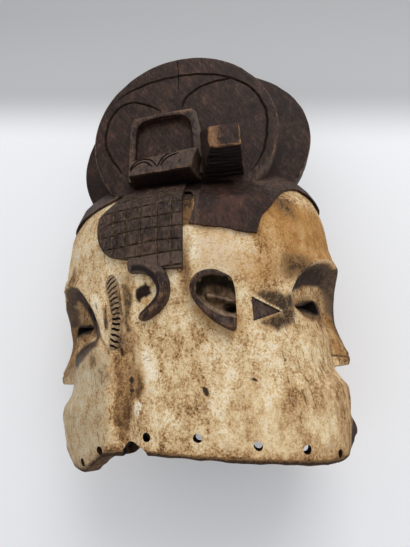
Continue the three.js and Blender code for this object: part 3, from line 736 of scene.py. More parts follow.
# An oval plate with both edges bevelled by a quarter circle and chipped. Its rings run in from the far
# face's middle to the edge, over it, and back over the near face.
def ovalPlate(name, shape, low, high):
    turn = np.linspace(0, 2 * math.pi, 200, endpoint=False)
    tilt, bevel = math.radians(shape["tilt"]), shape["bevel"]
    insets = [60, 25, 12, 6]
    turned = np.linspace(0.05, math.pi / 2, 5)
    inset = np.concatenate([insets, bevel * (1 - np.sin(turned))])
    drop = np.concatenate([np.zeros(len(insets)), bevel * (1 - np.cos(turned))])
    z = np.concatenate([low + drop, (high - drop)[::-1]])[:, None]
    inset = np.concatenate([inset, inset[::-1]])[:, None]
    along, aside = (shape["long"] - inset) * np.cos(turn), (shape["short"] - inset) * np.sin(turn)
    x = shape["x"] + along * math.cos(tilt) - aside * math.sin(tilt)
    y = shape["y"] + along * math.sin(tilt) + aside * math.cos(tilt)
    rings = np.stack([x, y, z + 0 * x], -1)
    inward = unit(np.array([shape["x"], shape["y"], (low + high) / 2]) - rings)
    chips = 0.35 * np.clip(unevenness(rings, 26, 21), 0, 2)
    chips = chips + 0.3 * np.clip(unevenness(rings, 8, 22) - 0.8, 0, 2)
    rings = rings + inward * [1, 1, 0.3] * chips[..., None]
    return solid(name, rings, stain, [[shape["x"], shape["y"], z] for z in (low, high)])


# A V cut along a line on a flat face at height z. The line wavers a little, as one cut by hand.
def faceGroove(name, points, z, width, depth):
    line = smoothLine(points)
    line = line + 0.25 * np.column_stack([np.sin(line[:, 1] * 0.4), np.sin(line[:, 0] * 0.35)])
    up = np.tile([0.0, 0.0, 1.0], (len(line), 1))
    return vCut(name, atLevel(line, z), up, width, depth, 0.3, 7)


# The arched frame: a bevelled plate that stands on the disc, less its opening.
def archPiece():
    frameBand = prism("arch", arch["outer"], disc["front"] - 6, arch["front"], bevel=1.6)
    opening = prism("arch_opening", smoothLine(arch["inner"]), disc["front"] - 0.4, arch["front"] + 5)
    return combine(frameBand, "DIFFERENCE", [opening])


# A four-cornered outline with small round corners: points crowd towards each corner as a cosine does, and
# those near it are pulled inward by an amount that dies off over the radius.
def edgeRing(corners, radius, perEdge=10):
    p = np.array(corners, float)
    after = np.roll(p, -1, axis=0)
    share = 0.5 - 0.5 * np.cos(np.linspace(0, math.pi, perEdge, endpoint=False))
    ring = (p[:, None] + (after - p)[:, None] * share[None, :, None]).reshape(-1, 2)
    pulled = np.exp(-np.min(np.linalg.norm(ring[:, None] - p[None], axis=-1), axis=1) / radius)
    return ring + unit(p.mean(0) - ring) * (pulled * radius * 0.35)[:, None]


# A block from the ring base at low to the ring end at high, closed by rings that shrink to the end's
# middle. Each closing place is a share of the way in and a drop.
def block(base, end, low, high, edgeDrop, steps, closing):
    sides = [atLevel(blendTo(base, end, share), blendTo(low, high - edgeDrop, share))
             for share in np.linspace(0, 1, steps)]
    face = [atLevel(blendTo(end, end.mean(0), share), high - drop) for share, drop in closing]
    return np.array(sides), np.array(face)


# The open book: a block that flares a little, its faces uneven.
def bookPiece():
    base, near = edgeRing(book["base"], 1.5), edgeRing(book["near"], 1.5)
    rings = np.concatenate(block(base, near, disc["front"] - 6, book["front"], 1.6, 12,
                                 ((0.02, 0.5), (0.06, 0), (0.3, 0))))
    return solid("book", rings + 0.3 * unevenness(rings, 12, 31)[..., None] * [0.4, 1, 0.4], stain)


# The cut-off stump: a block between two boxes, given as left, right, low and high. Where it is worn, the
# saw and chisel left ridges across its underside, its sides are uneven and its end is pitted.
def stumpPiece(name, endBox, baseBox, to, worn):
    base, end = (edgeRing([[left, low], [right, low], [right, high], [left, high]], stump["corner"], 14)
                 for left, right, low, high in (baseBox, endBox))
    sides, face = block(base, end, stump["from"], to, 1.2, 44, stump["closing"])
    under = ramp(endBox[2] + 3, endBox[2], sides[..., 1])
    ridges = 0.55 * np.sin(sides[..., 2] * 1.5 + 0.9 * np.sin(sides[..., 2] * 0.31))
    ridges = ridges + 0.6 * unevenness(sides * [0.3, 1, 1], 7, 41)
    sides[..., 1] += under * ridges * worn
    sides = sides + 0.35 * worn * unevenness(sides, 11, 42)[..., None] * [1, 0.3, 0]
    chip = 1.2 * spot(face[..., 0], face[..., 1], 57, 250, 7)
    face[..., 2] -= worn * (0.5 * np.clip(unevenness(face, 9, 43), 0, 2) + chip)
    return solid(name, np.concatenate([sides, face]), stain)


# Openings

openings = {
    "holeRadius": 3.3,
    "sideHoles": [[-32, 17], [7, 15], [50, 7], [85.5, 1]],
    # Holes through the rim nearer the chins, as place and bearing round the mask in degrees
    "chinHoles": [([113, -6.5, 55], 50), ([-96, -3.5, 57], 126), ([-75, 7.2, 74], 112)],
    "notch": [[-57, -40], [-56.6, 1], [-54.8, 4.5], [-55.2, 7.6], [-52.6, 10.4], [-50.4, 13], [-47.6, 13.8],
              [-45, 13.4], [-42.6, 12.6], [-39.2, 10.8], [-35.6, 9], [-33, 6.6], [-31.4, 3], [-31, -40]],
}


# A round hole along a bearing in the level plane, its mouth a little worn: two sines make its radius
# uneven.
def holeRod(at, bearing):
    turn = np.linspace(0, 2 * math.pi, 20, endpoint=False)
    along = np.array([math.cos(math.radians(bearing)), 0, math.sin(math.radians(bearing))])
    across = np.array([-along[2], 0, along[0]])
    radius = openings["holeRadius"] * (1 + 0.05 * np.sin(turn * 2 + at[0]) + 0.03 * np.sin(turn * 3 + at[1]))
    ring = (np.cos(turn) * radius)[:, None] * across + (np.sin(turn) * radius)[:, None] * [0, 1, 0]
    centres = [np.array(at, float) + along * reach for reach in (-32, -10, 10, 45)]
    return solid("hole", [centre + ring for centre in centres], inside, [centres[0], centres[-1]])


# An eye opening: its outline carried along x from inside the mask to beyond the face.
def eyeTool(outline, side):
    ring = outlineRing(outline, 40)
    rings = [np.column_stack([np.full(len(ring), side * reach), ring[:, 1], ring[:, 0]])
             for reach in (55, 90, 140)]
    return solid("eye", rings, inside)


# The same piece on the far side of the mid-plane.
def farCopy(piece):
    mesh = piece.data.copy()
    middle = toRow([0, 0, 0])[2]
    mesh.transform(Matrix.Translation((0, 0, 2 * middle)) @ Matrix.Scale(-1, 4, (0, 0, 1)))
    mesh.flip_normals()
    return newObject(piece.name + "_far", mesh)


# Everything that stands on the head, near and far.
def raisedPieces(bothEars):
    farStump = stumpPiece("far_stump", stump["farEnd"], stump["farBase"], -restLevel, 0.0)
    farStumpPlace = farCopy(farStump)
    bpy.data.objects.remove(farStump)
    nearDisc = ovalPlate("disc", disc, disc["back"], disc["front"])
    middlePlate = ovalPlate("plate", plate, -plate["half"], plate["half"])
    nearStump = stumpPiece("stump", stump["end"], stump["base"], stump["to"], 1.0)
    return [*hairPieces(), leafPiece(), *bothEars, middlePlate, nearDisc, farCopy(nearDisc), archPiece(),
            bookPiece(), nearStump, farStumpPlace]


# The lines drawn with the knife on the disc and on the book.
def drawnLines():
    width, depth, front = discLines["width"], discLines["depth"], disc["front"]
    lines = [faceGroove(name, discLines[name], front, width, depth)
             for name in ("band", "rightLobe", "leftLobe")]
    lines.append(faceGroove("disc_crack", discLines["crack"], front, 0.8, 5))
    return lines + [faceGroove("page", page, book["front"], 1.6, 1.2) for page in book["pages"]]


# The head with everything joined to it, and then everything cut out of it.
def carveMask():
    mask = headSolid()
    print("head", len(mask.data.polygons))
    cup, bowl = cupEarPieces()
    band = bandEarPiece()
    combine(mask, "UNION", raisedPieces([cup, farCopy(cup), band, farCopy(band)]))
    print("joined", len(mask.data.polygons))
    holes = [([x, y, 90], 90) for x, y in openings["sideHoles"]] + openings["chinHoles"]
    doubled = [bowl, *(holeRod(at, bearing) for at, bearing in holes), eyeTool(head["rightEye"], 1),
               eyeTool(head["leftEye"], -1), templeCut()]
    cuts = doubled + [farCopy(tool) for tool in doubled]
    cuts.append(prism("notch", openings["notch"], 60, 130, inside))
    # What would reach below the plane it rests on is cut away
    plane = [[-200, -100], [200, -100], [200, 500], [-200, 500]]
    cuts.append(prism("rest", plane, restLevel - 40, restLevel))
    combine(mask, "DIFFERENCE", cuts + netGrooves() + leafCuts() + drawnLines())
    print("carved", len(mask.data.polygons))
    return mask


mask = carveMask()


# Which connected patch each point belongs to: every point takes the lowest number among its neighbours
# until no number changes.
def patchOfPoints(mesh):
    ends = np.empty(len(mesh.edges) * 2, np.int32)
    mesh.edges.foreach_get("vertices", ends)
    a, b = ends.reshape(-1, 2).T
    patch = np.arange(len(mesh.vertices))
    while True:
        lowest = np.minimum(patch[a], patch[b])
        lowered = patch.copy()
        np.minimum.at(lowered, patch[a], lowest)
        np.minimum.at(lowered, patch[b], lowest)
        lowered = lowered[lowered]
        if np.array_equal(lowered, patch):
            return patch
        patch = lowered


# A mesh's points as rows of three, in the row frame.
def meshPoints(mesh):
    points = np.empty(len(mesh.vertices) * 3, np.float32)
    mesh.vertices.foreach_get("co", points)
    return points.reshape(-1, 3)


# Slivers that the welding folded flat lie on each other's points, and their faces go in pairs. So do the
# flaps that hang on a single edge.
def dropFolds(build):
    onPoints = {}
    for face in build.faces:
        onPoints.setdefault(frozenset(face.verts), []).append(face)
    folded = [face for faces in onPoints.values() for face in faces[:len(faces) // 2 * 2]]
    bmesh.ops.delete(build, geom=folded, context="FACES")
    flaps = {face for edge in build.edges if edge.is_boundary for face in edge.link_faces}
    bmesh.ops.delete(build, geom=list(flaps), context="FACES")
    print("folded faces", len(folded), "flaps", len(flaps))


# Points that meet are welded, specks that the cuts left loose are dropped, every point is kept within the
# solids' box, and the normals' edges are kept where the wood turns sharply.
def tidyMesh(piece, sharpAngle=34):
    build = bmesh.new()
    build.from_mesh(piece.data)
    bmesh.ops.remove_doubles(build, verts=build.verts, dist=2e-6)
    bmesh.ops.dissolve_degenerate(build, edges=build.edges, dist=1e-6)
    bmesh.ops.triangulate(build, faces=[face for face in build.faces if len(face.verts) > 4])
    dropFolds(build)
    build.to_mesh(piece.data)
    patch = patchOfPoints(piece.data)
    build.verts.ensure_lookup_table()
    specks = [build.verts[i] for i in np.flatnonzero(patch != np.bincount(patch).argmax())]
    print("specks", len(specks))
    bmesh.ops.delete(build, geom=specks, context="VERTS")
    build.to_mesh(piece.data)
    build.free()
    points = np.clip(meshPoints(piece.data), *np.array(cadBox))
    piece.data.vertices.foreach_set("co", points.ravel())
    piece.data.polygons.foreach_set("use_smooth", np.ones(len(piece.data.polygons), bool))
    piece.data.set_sharp_from_angle(angle=math.radians(sharpAngle))


tidyMesh(mask)
print("mask", len(mask.data.polygons), "faces")


# Where paint, soot and wear lie

marks = {
    "smudge": [[59, 120], [64, 123], [70, 121.5], [77, 123.5], [82, 118.5], [87, 120.5], [91.5, 117],
               [90, 104], [87, 96], [81, 93.5], [75, 90], [69, 92.5], [61, 96], [64, 98.5], [72, 102],
               [79, 105.4], [66, 112.8]],
    "pit": [[-38, 131], [-34, 133], [-31.4, 133.5], [-29.1, 136.5], [-27.8, 133], [-23.5, 131.8],
            [-25.3, 128.4], [-23.2, 125.3], [-27.3, 123.7], [-29.1, 120.7], [-33.1, 118.7], [-37.1, 119.6],
            [-39, 125.4]],
    "pitFloor": [[-32.6, 121.1], [-30, 122.5], [-26.5, 120.6], [-28.3, 117.4], [-32.5, 117]],
    "besideScars": [[-52, 139], [-47, 136.5], [-42.5, 130], [-41, 122.4], [-43, 113.5], [-46, 104.9],
                    [-41.5, 97.5], [-48.2, 95.2], [-49.5, 105.4], [-49.4, 119.3]],
    "wedge": [[-88, 137], [-82.5, 127.5], [-77.5, 116.1], [-74.4, 99.9], [-70.3, 93.5], [-70.4, 109.1],
              [-71.6, 121.6], [-76, 133]],
    # The painted shadow that the raised leaf of scars casts on its left
    "leafShadowStrip": [[-69.6, 121], [-66.4, 119.5], [-65.6, 102], [-69.2, 101.5]],
    # Knots and dark spots, as place, height, half width and half height
    "spots": [(-54.5, 82.4, 1.4, 3.6), (-45.8, 59.3, 2, 2.4), (-45, 51.2, 2, 1.7), (51.3, 52.9, 1.4, 1.4),
              (15.2, 47.3, 1.1, 3.4)],
    "valley": [[-57.9, 105.7], [-34.9, 98.7], [-33.3, 85], [-30.3, 61.9], [-33.3, 47.4], [-43.9, 42.8],
               [-47.1, 29.8], [-48.7, 15.3], [-52.6, 10], [-60.5, 18], [-62.1, 37.7], [-61, 56.4],
               [-63.5, 72.1], [-59.8, 87.6]],
    "paleCrease": [[-78.4, 99.1], [-88.9, 94.9], [-97.5, 91.8]],
    "sootyCrease": [[-75, 96.7], [-69.7, 89.3], [-65.4, 80.7]],
    "templeTop": [[57, 118], [78.4, 106.4]],
    # On the faces, as across and height
    "nostril": [[30, 71.4], [16, 69.8], [7.6, 68.8]], "browSlit": [[57, 159], [58, 152], [60, 146.5]],
    "rightDark": [[73, 111.5], [70, 118], [62, 124.5], [54, 128], [48.6, 131.2], [36.9, 132.5], [26, 134.5],
                  [18.7, 136], [14, 134], [11.5, 128], [10.5, 120], [10.5, 108], [8, 98], [4, 93], [-6, 93],
                  [-6, 158], [8, 157], [18, 154], [27, 154], [41.5, 154], [54, 150], [62, 143.5],
                  [67, 133.5], [70, 124]],
    "leftDark": [[80, 88], [74, 89], [69.5, 97], [65, 104], [59.5, 112], [53.5, 123], [46, 133.5],
                 [36, 139], [24, 141.5], [16, 138], [12.5, 128], [12, 118], [-6, 117], [-6, 152],
                 [42, 152.5], [54, 151], [64.5, 146.5], [72, 135], [76.5, 121], [78.5, 107]],
    "leftBand": [[61, 95], [76, 95.5], [75.5, 89.5], [67, 85.5], [57, 79.5], [46, 74], [31, 79],
                 [37.4, 87.7], [51, 91.5]],
}


# One value at each of a mesh's points, which materials read by name.
def setAttribute(mesh, name, values):
    layer = mesh.attributes.new(name, "FLOAT", "POINT")
    layer.data.foreach_set("value", np.asarray(values, np.float32))


# Each field below is a sum or the largest of humps, ramps and distances to outlines over the mask.

# Millimetres into the places that were painted black; below 0 the kaolin shows.
def pigmentField(x, y, z):
    across = np.abs(z)
    intoHollow, intoEye = intoOutline("Hollow", x, y, z), intoOutline("Eye", x, y, z)
    faded = 8 * ramp(112, 92, y) * ramp(24, 12, across)
    rightBrow = np.minimum(0.5 * signedDistance(across, y, marks["rightDark"]),
                           intoHollow + 10 * ramp(24, 12, across) - 0.8) - faded
    rightLips = (1 - np.hypot(across / 29, (y - 3) / 15)) * 9
    farBrow = (1 - np.hypot((z + 24) / 21, (y - 151) / 15)) * 9
    leftBrow = np.minimum(0.6 * signedDistance(across, y, marks["leftDark"]),
                          intoHollow + 3 * ramp(20, 8, across) - 0.3)
    leftBand = 0.55 * signedDistance(across, y, marks["leftBand"]) + 0.1
    slit = 0.9 - lineDistance(across, y, marks["browSlit"])
    leftLips = (1 - np.hypot(across / 22, (y - 2) / 7)) * 7
    right = np.maximum.reduce([rightBrow, 2.6 + intoEye, rightLips, farBrow])
    left = np.maximum.reduce([leftBrow, leftBand, 2.6 + intoEye, slit, leftLips])
    face = np.where(np.abs(x) > 70, byFace(x, right, left), -20.0)
    pit = np.minimum(signedDistance(x, y, marks["pit"]), -0.8 - signedDistance(x, y, marks["pitFloor"]))
    return np.maximum(face, np.where(z > 60, pit, -20))


# Rises from 0 to 1 across the outline of a mark, from start to end millimetres inside it.
def intoMark(name, x, y, start, end):
    return ramp(start, end, signedDistance(x, y, marks[name]))


# 1 within the leaf of scars and 0 outside it.
def onLeaf(x, y):
    between = (x > curve(leaf["left"], y)) & (x < curve(leaf["right"], y))
    return between & (y > leaf["foot"]) & (y < leaf["top"])


# How brown the kaolin has gone, with painted shade in the valley's hollow and in a band below the hair's
# raised edge: 0 is clean.
def ageAndShadeField(x, y, z):
    near, onRight, overRim = z > 0, x > 60, y - rimHeight(x, z)
    forehead = (0.85 * spot(x, y, 118, 178, 52, wide=1.25) + 0.75 * spot(x, y, 88, 196, 22)
                + 0.5 * spot(x, y, 98, 146, 22))
    chin = 0.45 * ramp(98, 122, x) * ramp(50, 34, y) + 0.12 * ramp(35, 75, x) * ramp(84, 60, y)
    nearWall = (0.55 * spot(x, y, 72, 134, 26, tall=0.8) + 0.35 * spot(x, y, -8, 62, 34, wide=0.9, tall=1.3)
                + 0.8 * spot(x, y, 71, 158, 17, wide=0.6, lean=0.3))
    # Browner in the valley, with painted shade in its hollow
    valley = blendTo(1.2, 0.5, ramp(58, 86, y)) * intoMark("valley", x, y, -2, 3) * ramp(100, 88, y)
    rim = 0.7 * ramp(13, -2, overRim) + 2.2 * ramp(5, 2, overRim)
    seam = 0.9 * hump(x, 4 + 0.03 * (y - 120), 8) * ramp(100, 130, y) * ramp(190, 160, y)
    nose = 0.7 * ramp(44, 18, np.abs(z)) * ramp(56, 70, y) * ramp(150, 110, y) * (np.abs(x) > 100)
    socket = byFace(x, 0.4, 0.75) * ramp(3, 12, intoOutline("Hollow", x, y, z)) * (np.abs(x) > 70)
    hairGap = 1.5 * (np.abs(x - 8) < 6) * (y > 180)
    scars = blendTo(0.6, 1.3, ramp(104, 128, y)) * onLeaf(x, y)
    # Painted shade in a band below the hair's raised edge
    hairline = 0.5 * ramp(11, 2, lineDistance(x, y, [*hair["browEdge"], *hair["capEdge"][1:]]))
    return (forehead * onRight + chin + rim + nose + socket + hairGap
            + (nearWall + valley + seam + scars + hairline) * near)


# Where the chalk lies thickest, with painted highlights on the brow's raised edge and along the temple
# field's top edge.
def thickChalkAndHighlightField(x, y, z):
    wall = (1.8 * spot(x, y, -30.25, 71, 25, wide=0.5, lean=0.25) + 0.35 * spot(x, y, 38, 70, 44)
            + 1.15 * spot(x, y, 24, 160, 42, wide=1.5, tall=0.75) + 0.1 * spot(x, y, -92, 176, 40))
    crease = 1.6 * hump(lineDistance(x, y, marks["paleCrease"]), 0, 1.6)
    filler = 4 * ramp(3.6, 1.6, np.hypot(x + 39.5 - 0.2 * (y - 38), (y - 38) / 1.7)) * (z > 60)
    wedge = 0.9 * intoMark("wedge", x, y, -1, 1) * (z > 0)
    # Chalk, and a painted highlight on the brow's raised edge
    browLine = 3.4 * hump(intoOutline("Hollow", x, y, z), -0.7, 1.7) * ramp(108, 120, y) * (x > 70) * (z > 22)
    # Painted highlight along the temple field's top edge
    templeLine = 0.9 * hump(lineDistance(x, y, marks["templeTop"]), 0, 1.2) * (np.abs(z) > 55)
    return wall + crease + filler + wedge + browLine + templeLine


# Where oil has stained the chalk orange.
def warmField(x, y, z):
    forehead = 0.5 * spot(x, y, 112, 178, 48, wide=1.1) * (x > 60)
    underEar = 0.8 * hump(signedDistance(x, y, cupEar["outline"]), -1, 9) * ramp(120, 105, y)
    underEar = underEar * (np.abs(z) > 60)
    besideEar = 0.5 * spot(x, y, 60, 132, 26)
    cap = 0.5 * spot(x, y, 44, 205, 24, wide=1.2)
    pitFloor = 1.5 * intoMark("pitFloor", x, y, -1, 1) * (z > 60)
    noseSide = 0.6 * hump(np.abs(z), 12, 12) * ramp(60, 70, y) * ramp(122, 100, y) * (np.abs(x) > 100)
    upper = 0.62 * ramp(128, 152, y) * ramp(212, 196, y) * (z > 0) * ramp(10, 18, x)
    return forehead + underEar + besideEar + cap + pitFloor + noseSide + upper


# Where the chalk has greyed: the left face, its muzzle and the leaf of scars.
def greyField(x, y, z):
    muzzle = 0.75 * ramp(-58, -72, x) * ramp(96, 78, y)
    brow = 0.35 * ramp(-62, -80, x) * ramp(96, 120, y)
    scars = 0.55 * (np.abs(x + 58) < 9) * (y > leaf["foot"]) * (y < 148) * (z > 0)
    return muzzle + brow + scars


# Where the coat is rubbed smooth and its speckle is faint: the chins, the valley and the cheek beside the
# nose.
def calmField(x, y, z):
    rightChin = 0.7 * ramp(10, 50, x) * ramp(62, 34, y)
    cheek = 0.5 * ramp(84, 104, x) * ramp(112, 96, y)
    muzzle = 0.3 * ramp(-56, -64, x) * ramp(96, 84, y)
    valley = 0.85 * intoMark("valley", x, y, -2, 3) * (z > 0)
    return np.maximum.reduce([rightChin, cheek, muzzle, valley])


# Where the wood has dried and opened along its grain.
def dryField(x, y, z):
    return ramp(58, 78, x) * ramp(112, 100, y) * ramp(20, 45, y) + 0.6 * ramp(-60, -75, x)


# Soft sooty smudges on the kaolin, with painted shade along the rim's edge and a painted shadow to the
# left of the leaf of scars: 1 hides it, and 2 does so without a fleck.
def sootAndShadeField(x, y, z):
    across, near, onRight = np.abs(z), z > 0, x > 60
    intoEye = intoOutline("Eye", x, y, z)
    intoSmudge = np.maximum(signedDistance(x, y, marks["smudge"]), signedDistance(x, y, temple["corners"]))
    smudge = ramp(-4, 4, intoSmudge) * ramp(53, 62, x) * (across > 55)
    # The smudge is cleared along the temple field's top edge, where its painted highlight lies
    smudge = smudge * (1 - 0.6 * hump(lineDistance(x, y, marks["templeTop"]), 0, 1.2))
    dots = [ramp(1.3, 0.7, np.hypot((x - at) / wide, (y - up) / tall))
            for at, up, wide, tall in marks["spots"]]
    return np.clip(np.maximum.reduce([
        smudge,
        2 * np.maximum.reduce(dots) * (z > 40),
        # Round the eyes and noses
        0.5 * ramp(-9, -3, intoEye) * (np.abs(x) > 70),
        0.75 * hump(intoEye, -4.2, 3.4) * ramp(110, 105, y) * (x > 70),
        0.9 * hump(across, 3, 12) * ramp(68, 98, y) * ramp(150, 130, y) * (x > 100),
        0.7 * hump(across, 8, 9) * ramp(78, 92, y) * ramp(150, 130, y) * (x < -100),
        0.8 * ramp(1.6, 0.5, lineDistance(across, y, marks["nostril"])) * (x > 100),
        0.35 * hump(y, 2, 16) * (np.abs(x) > 118),
        # Above the brows and at the hair
        0.85 * spot(x, y, 97, 145, 20, wide=1.4) * onRight,
        0.75 * spot(x, y, 92, 200, 22, wide=0.6, lean=0.6) * onRight,
        0.7 * spot(x, y, -108, 157, 12, wide=0.6, tall=1.3),
        0.45 * hump(x, 5, 6) * ramp(116, 126, y) * ramp(176, 150, y) * near,
        (0.6 + 0.5 * ramp(188, 212, y)) * (np.abs(x - 8) < 6) * (y > 180) * near,
        # Beside the scars, a painted shadow to the leaf's left, on the left muzzle, and painted shade as a
        # dark line along the rim's edge
        0.8 * intoMark("besideScars", x, y, -2, 2) * near,
        0.9 * intoMark("leafShadowStrip", x, y, -1, 1) * near,
        0.4 * spot(x, y, -47, 140, 12) * near,
        0.75 * spot(x, y, -84, 78, 10, tall=1.4) * near,
        0.45 * spot(x, y, -72, 66, 14) * near,
        0.6 * ramp(1.6, 0.5, lineDistance(x, y, marks["sootyCrease"])) * near,
        # Painted shade: a dark line where the coat turns under at the rim's edge
        1.3 * ramp(4.4, 1.8, y - rimHeight(x, z)),
    ]), 0, 2)


# Millimetres into a tilted oval, measured along its shorter half.
def ovalInside(shape, x, y):
    tilt = math.radians(shape["tilt"])
    along = (x - shape["x"]) * math.cos(tilt) + (y - shape["y"]) * math.sin(tilt)
    aside = (y - shape["y"]) * math.cos(tilt) - (x - shape["x"]) * math.sin(tilt)
    return (1 - np.hypot(along / shape["long"], aside / shape["short"])) * shape["short"]


# 1 where a height lies from below under a level to above over it, and 0 elsewhere.
def atFace(height, level, below, above=1):
    return (height > level - below) & (height < level + above)


# How far the stain has rubbed off the dark wood, 1 on the edges that hands and storage reach, with
# painted highlights on the cup ear's rim and on the ridges of its bowl's folds.
def wearAndHighlightField(x, y, z):
    across = np.abs(z)
    onArch = atFace(z, arch["front"], 2)
    archTop = 0.85 * np.maximum(hump(x, -2, 9), hump(x, 13, 7)) * ramp(318, 322, y)
    left, right, low, _ = stump["end"]
    fromEdge = np.minimum.reduce([x - left, right - x, y - low, 30 + 0 * x])
    stumpEnd = 0.9 * np.maximum(ramp(2.2, 0.6, fromEdge), ramp(left + 16, left + 5, x))
    folds = np.minimum(lineDistance(x, y, cupEar["fold"]), lineDistance(x, y, cupEar["tongue"]))
    intoEar, intoBowl = signedDistance(x, y, cupEar["outline"]), signedDistance(x, y, cupEar["bowl"])
    return np.clip(np.maximum.reduce([
        0.75 * hump(ovalInside(disc, x, y), 1.5, 2) * atFace(across, disc["front"], 3),
        0.6 * hump(ovalInside(plate, x, y), 0.6, 1.6) * atFace(across, plate["half"], 3),
        0.45 * hump(signedDistance(x, y, arch["outer"]), 0.7, 1.2) * onArch,
        0.3 * hump(signedDistance(x, y, arch["inner"]), -0.6, 1.2) * onArch,
        archTop * onArch,
        0.7 * hump(signedDistance(x, y, book["near"]), 0.6, 1.6) * atFace(z, book["front"], 3),
        stumpEnd * (z > stump["to"] - 3) * (y > 230),
        # Painted highlights on the cup ear's rim and on the ridges of its bowl's folds
        0.6 * hump(intoEar, 1.2, 1.8) * (across > 104) * (y < 150) * (x > 0),
        0.7 * ramp(3, 0.5, folds) * (across < 109) * (intoBowl > 0),
        0.72 * hump(lineDistance(x, y, bandEar["path"]), 1, 2.0) * (across > 100),
    ]), 0, 1)


# Painted shade, black where little light would reach: the undersides of book and stump, the sunk side of
# the band ear, the cup ear's mouth, the cavity, the walls of the eyes, notch and mouth, the steps round
# each raised field, the gap behind the disc, the plate's left end and the ear's black pit.
def paintedShadeField(x, y, z, facingUp):
    across = np.abs(z)
    underCrest = byFace(x - 24, 0.9, 0.7) * ramp(-0.3, -0.75, facingUp)
    underCrest = underCrest * (y > 236) * (y < 262) * (z > disc["front"] + 1)
    intoBand = signedDistance(x, y, [*bandEar["path"], (-44, 120)])
    bandSide = 0.95 * ramp(0.9, 2.6, intoBand) * (lineDistance(x, y, bandEar["path"]) < 6) * (across > 90)
    intoBowl = signedDistance(x, y, cupEar["bowl"])
    bowl = 0.85 * ramp(8, 3, intoBowl) * ramp(116, 123, y)
    bowl = np.maximum(bowl, 0.95 * spot(x, y, 40, 107.5, 8, wide=1.5))
    # Painted shade over the cavity, as an oval that closes upward as the cavity does
    shrink = cavityShrink(y)
    within = np.hypot(x / (118 * shrink + 2), z / (88 * shrink + 1)) < 1
    within = ramp(10, 70, y) * within * (y < head["cavityTop"])
    return np.clip(np.maximum.reduce([
        underCrest, bandSide, within,
        bowl * (intoBowl > -0.5) * (across < 108.5) * (across > 60),
        0.4 * ramp(2.5, 0.5, np.abs(signedDistance(x, y, hair["netOutline"]))) * (z > 60),
        0.6 * hump(across, disc["back"] - 4, 12) * (y > 260),
        0.45 * ramp(-70, -90, x) * (across < plate["half"] + 1) * (y > 250),
        ramp(15, 12, np.abs(x + 44)) * (y < 20) * (z > 55),
        0.85 * intoMark("pit", x, y, -1, 1.5) * (z > 60),
        ramp(-1.6, -0.6, intoOutline("Eye", x, y, z)) * (np.abs(x) > 60),
        hump(y, -1, 2.6) * ramp(27, 23, across) * (np.abs(x) > 118),
    ]), 0, 1)


# Grey dust on faces that look up under the crest, on the book, the ears and the net, and painted
# highlights on the brows' tops, along the arch's outer edge and right side and on the disc's right bevel.
def dustAndHighlightField(x, y, z):
    across, onDisc = np.abs(z), z > disc["front"] + 1
    intoHollow = intoOutline("Hollow", x, y, z)
    shoulder = 0.8 * spot(x, y, 92, 236, 42) + 0.8 * spot(x, y, -86, 230, 36)
    bookFace = 0.8 * atFace(z, book["front"], 2) * (y < 270) * (y > 238)
    bookEnd = 0.8 * (x > 11) * (x < 23) * (y > 243) * (y < 268) * onDisc
    # Painted highlights on the arch's right side and along its outer edge
    archSide = 0.4 * ramp(8, 14, x) * (x < 24) * (y > 260) * onDisc * (z < arch["front"] + 1)
    archRim = 0.7 * hump(signedDistance(x, y, arch["outer"]), 1, 3) * atFace(z, arch["front"], 2, 2)
    underArch = 0.35 * spot(x, y, -18, 268, 30, wide=1.3) * atFace(z, disc["front"], 3, 3)
    # Painted highlight: the disc's bevel is lighter on its right side only
    discEdge = 0.6 * hump(ovalInside(disc, x, y), 1, 7) * ramp(10, 70, x)
    discEdge = discEdge * atFace(across, disc["front"], 9, -0.2)
    # Painted highlight along the tops of the brows
    browTop = 0.7 * ramp(9, 2, intoHollow) * (intoHollow > -1) * (np.abs(x) > 70) * (y < 165)
    netTop = 0.5 * (np.abs(x + 30) < 50) * (y > 140) * (y < 235) * (z > 60)
    ears = 0.45 * (np.abs(across - 103) < 8) * (y > 88) * (y < 158)
    field = 0.7 * ramp(-1, 1, signedDistance(x, y, temple["corners"])) * (across > 55)
    shoulder = shoulder * (y < 262) * (across < 100)
    return np.clip(bookFace + bookEnd + archSide + archRim + field + discEdge + browTop + underArch + netTop
                   + ears + shoulder, 0, 1)


# Lays every field on the mask's points.
def paintFields(piece):
    x, y, z = (meshPoints(piece.data) * 1000 + maskMiddle).T.astype(float)
    fields = {"pigment": pigmentField, "ageAndShade": ageAndShadeField, "thickChalkAndHighlight": thickChalkAndHighlightField, "warm": warmField,
              "grey": greyField, "dry": dryField, "calm": calmField, "sootAndShade": sootAndShadeField, "wearAndHighlight": wearAndHighlightField,
              "dustAndHighlight": dustAndHighlightField}
    for name, field in fields.items():
        setAttribute(piece.data, name, field(x, y, z))
    # Painted shade also falls on faces that look down, so its field reads the points' normals
    normals = np.empty(len(piece.data.vertices) * 3, np.float32)
    piece.data.vertices.foreach_get("normal", normals)
    setAttribute(piece.data, "paintedShade", paintedShadeField(x, y, z, normals[1::3].astype(float)))


paintFields(mask)
print("paint fields")


# Materials

# An sRGB hex colour as the linear colour a shader takes.
def linear(hexColour):
    parts = [int(hexColour[i:i + 2], 16) / 255 for i in (1, 3, 5)]
    return (*[p / 12.92 if p <= 0.04045 else ((p + 0.055) / 1.055) ** 2.4 for p in parts], 1.0)


# Adds a node with its settings, and its inputs by name or number, and gives the output asked for.
def addNode(tree, kind, inputs, output=0, **settings):
    node = tree.nodes.new("ShaderNode" + kind)
    for key, value in settings.items():
        setattr(node, key, value)
    for key, value in inputs.items():
        if isinstance(value, bpy.types.NodeSocket):
            tree.links.new(value, node.inputs[key])
        else:
            node.inputs[key].default_value = linear(value) if isinstance(value, str) else value
    return node.outputs[output] if node.outputs else node


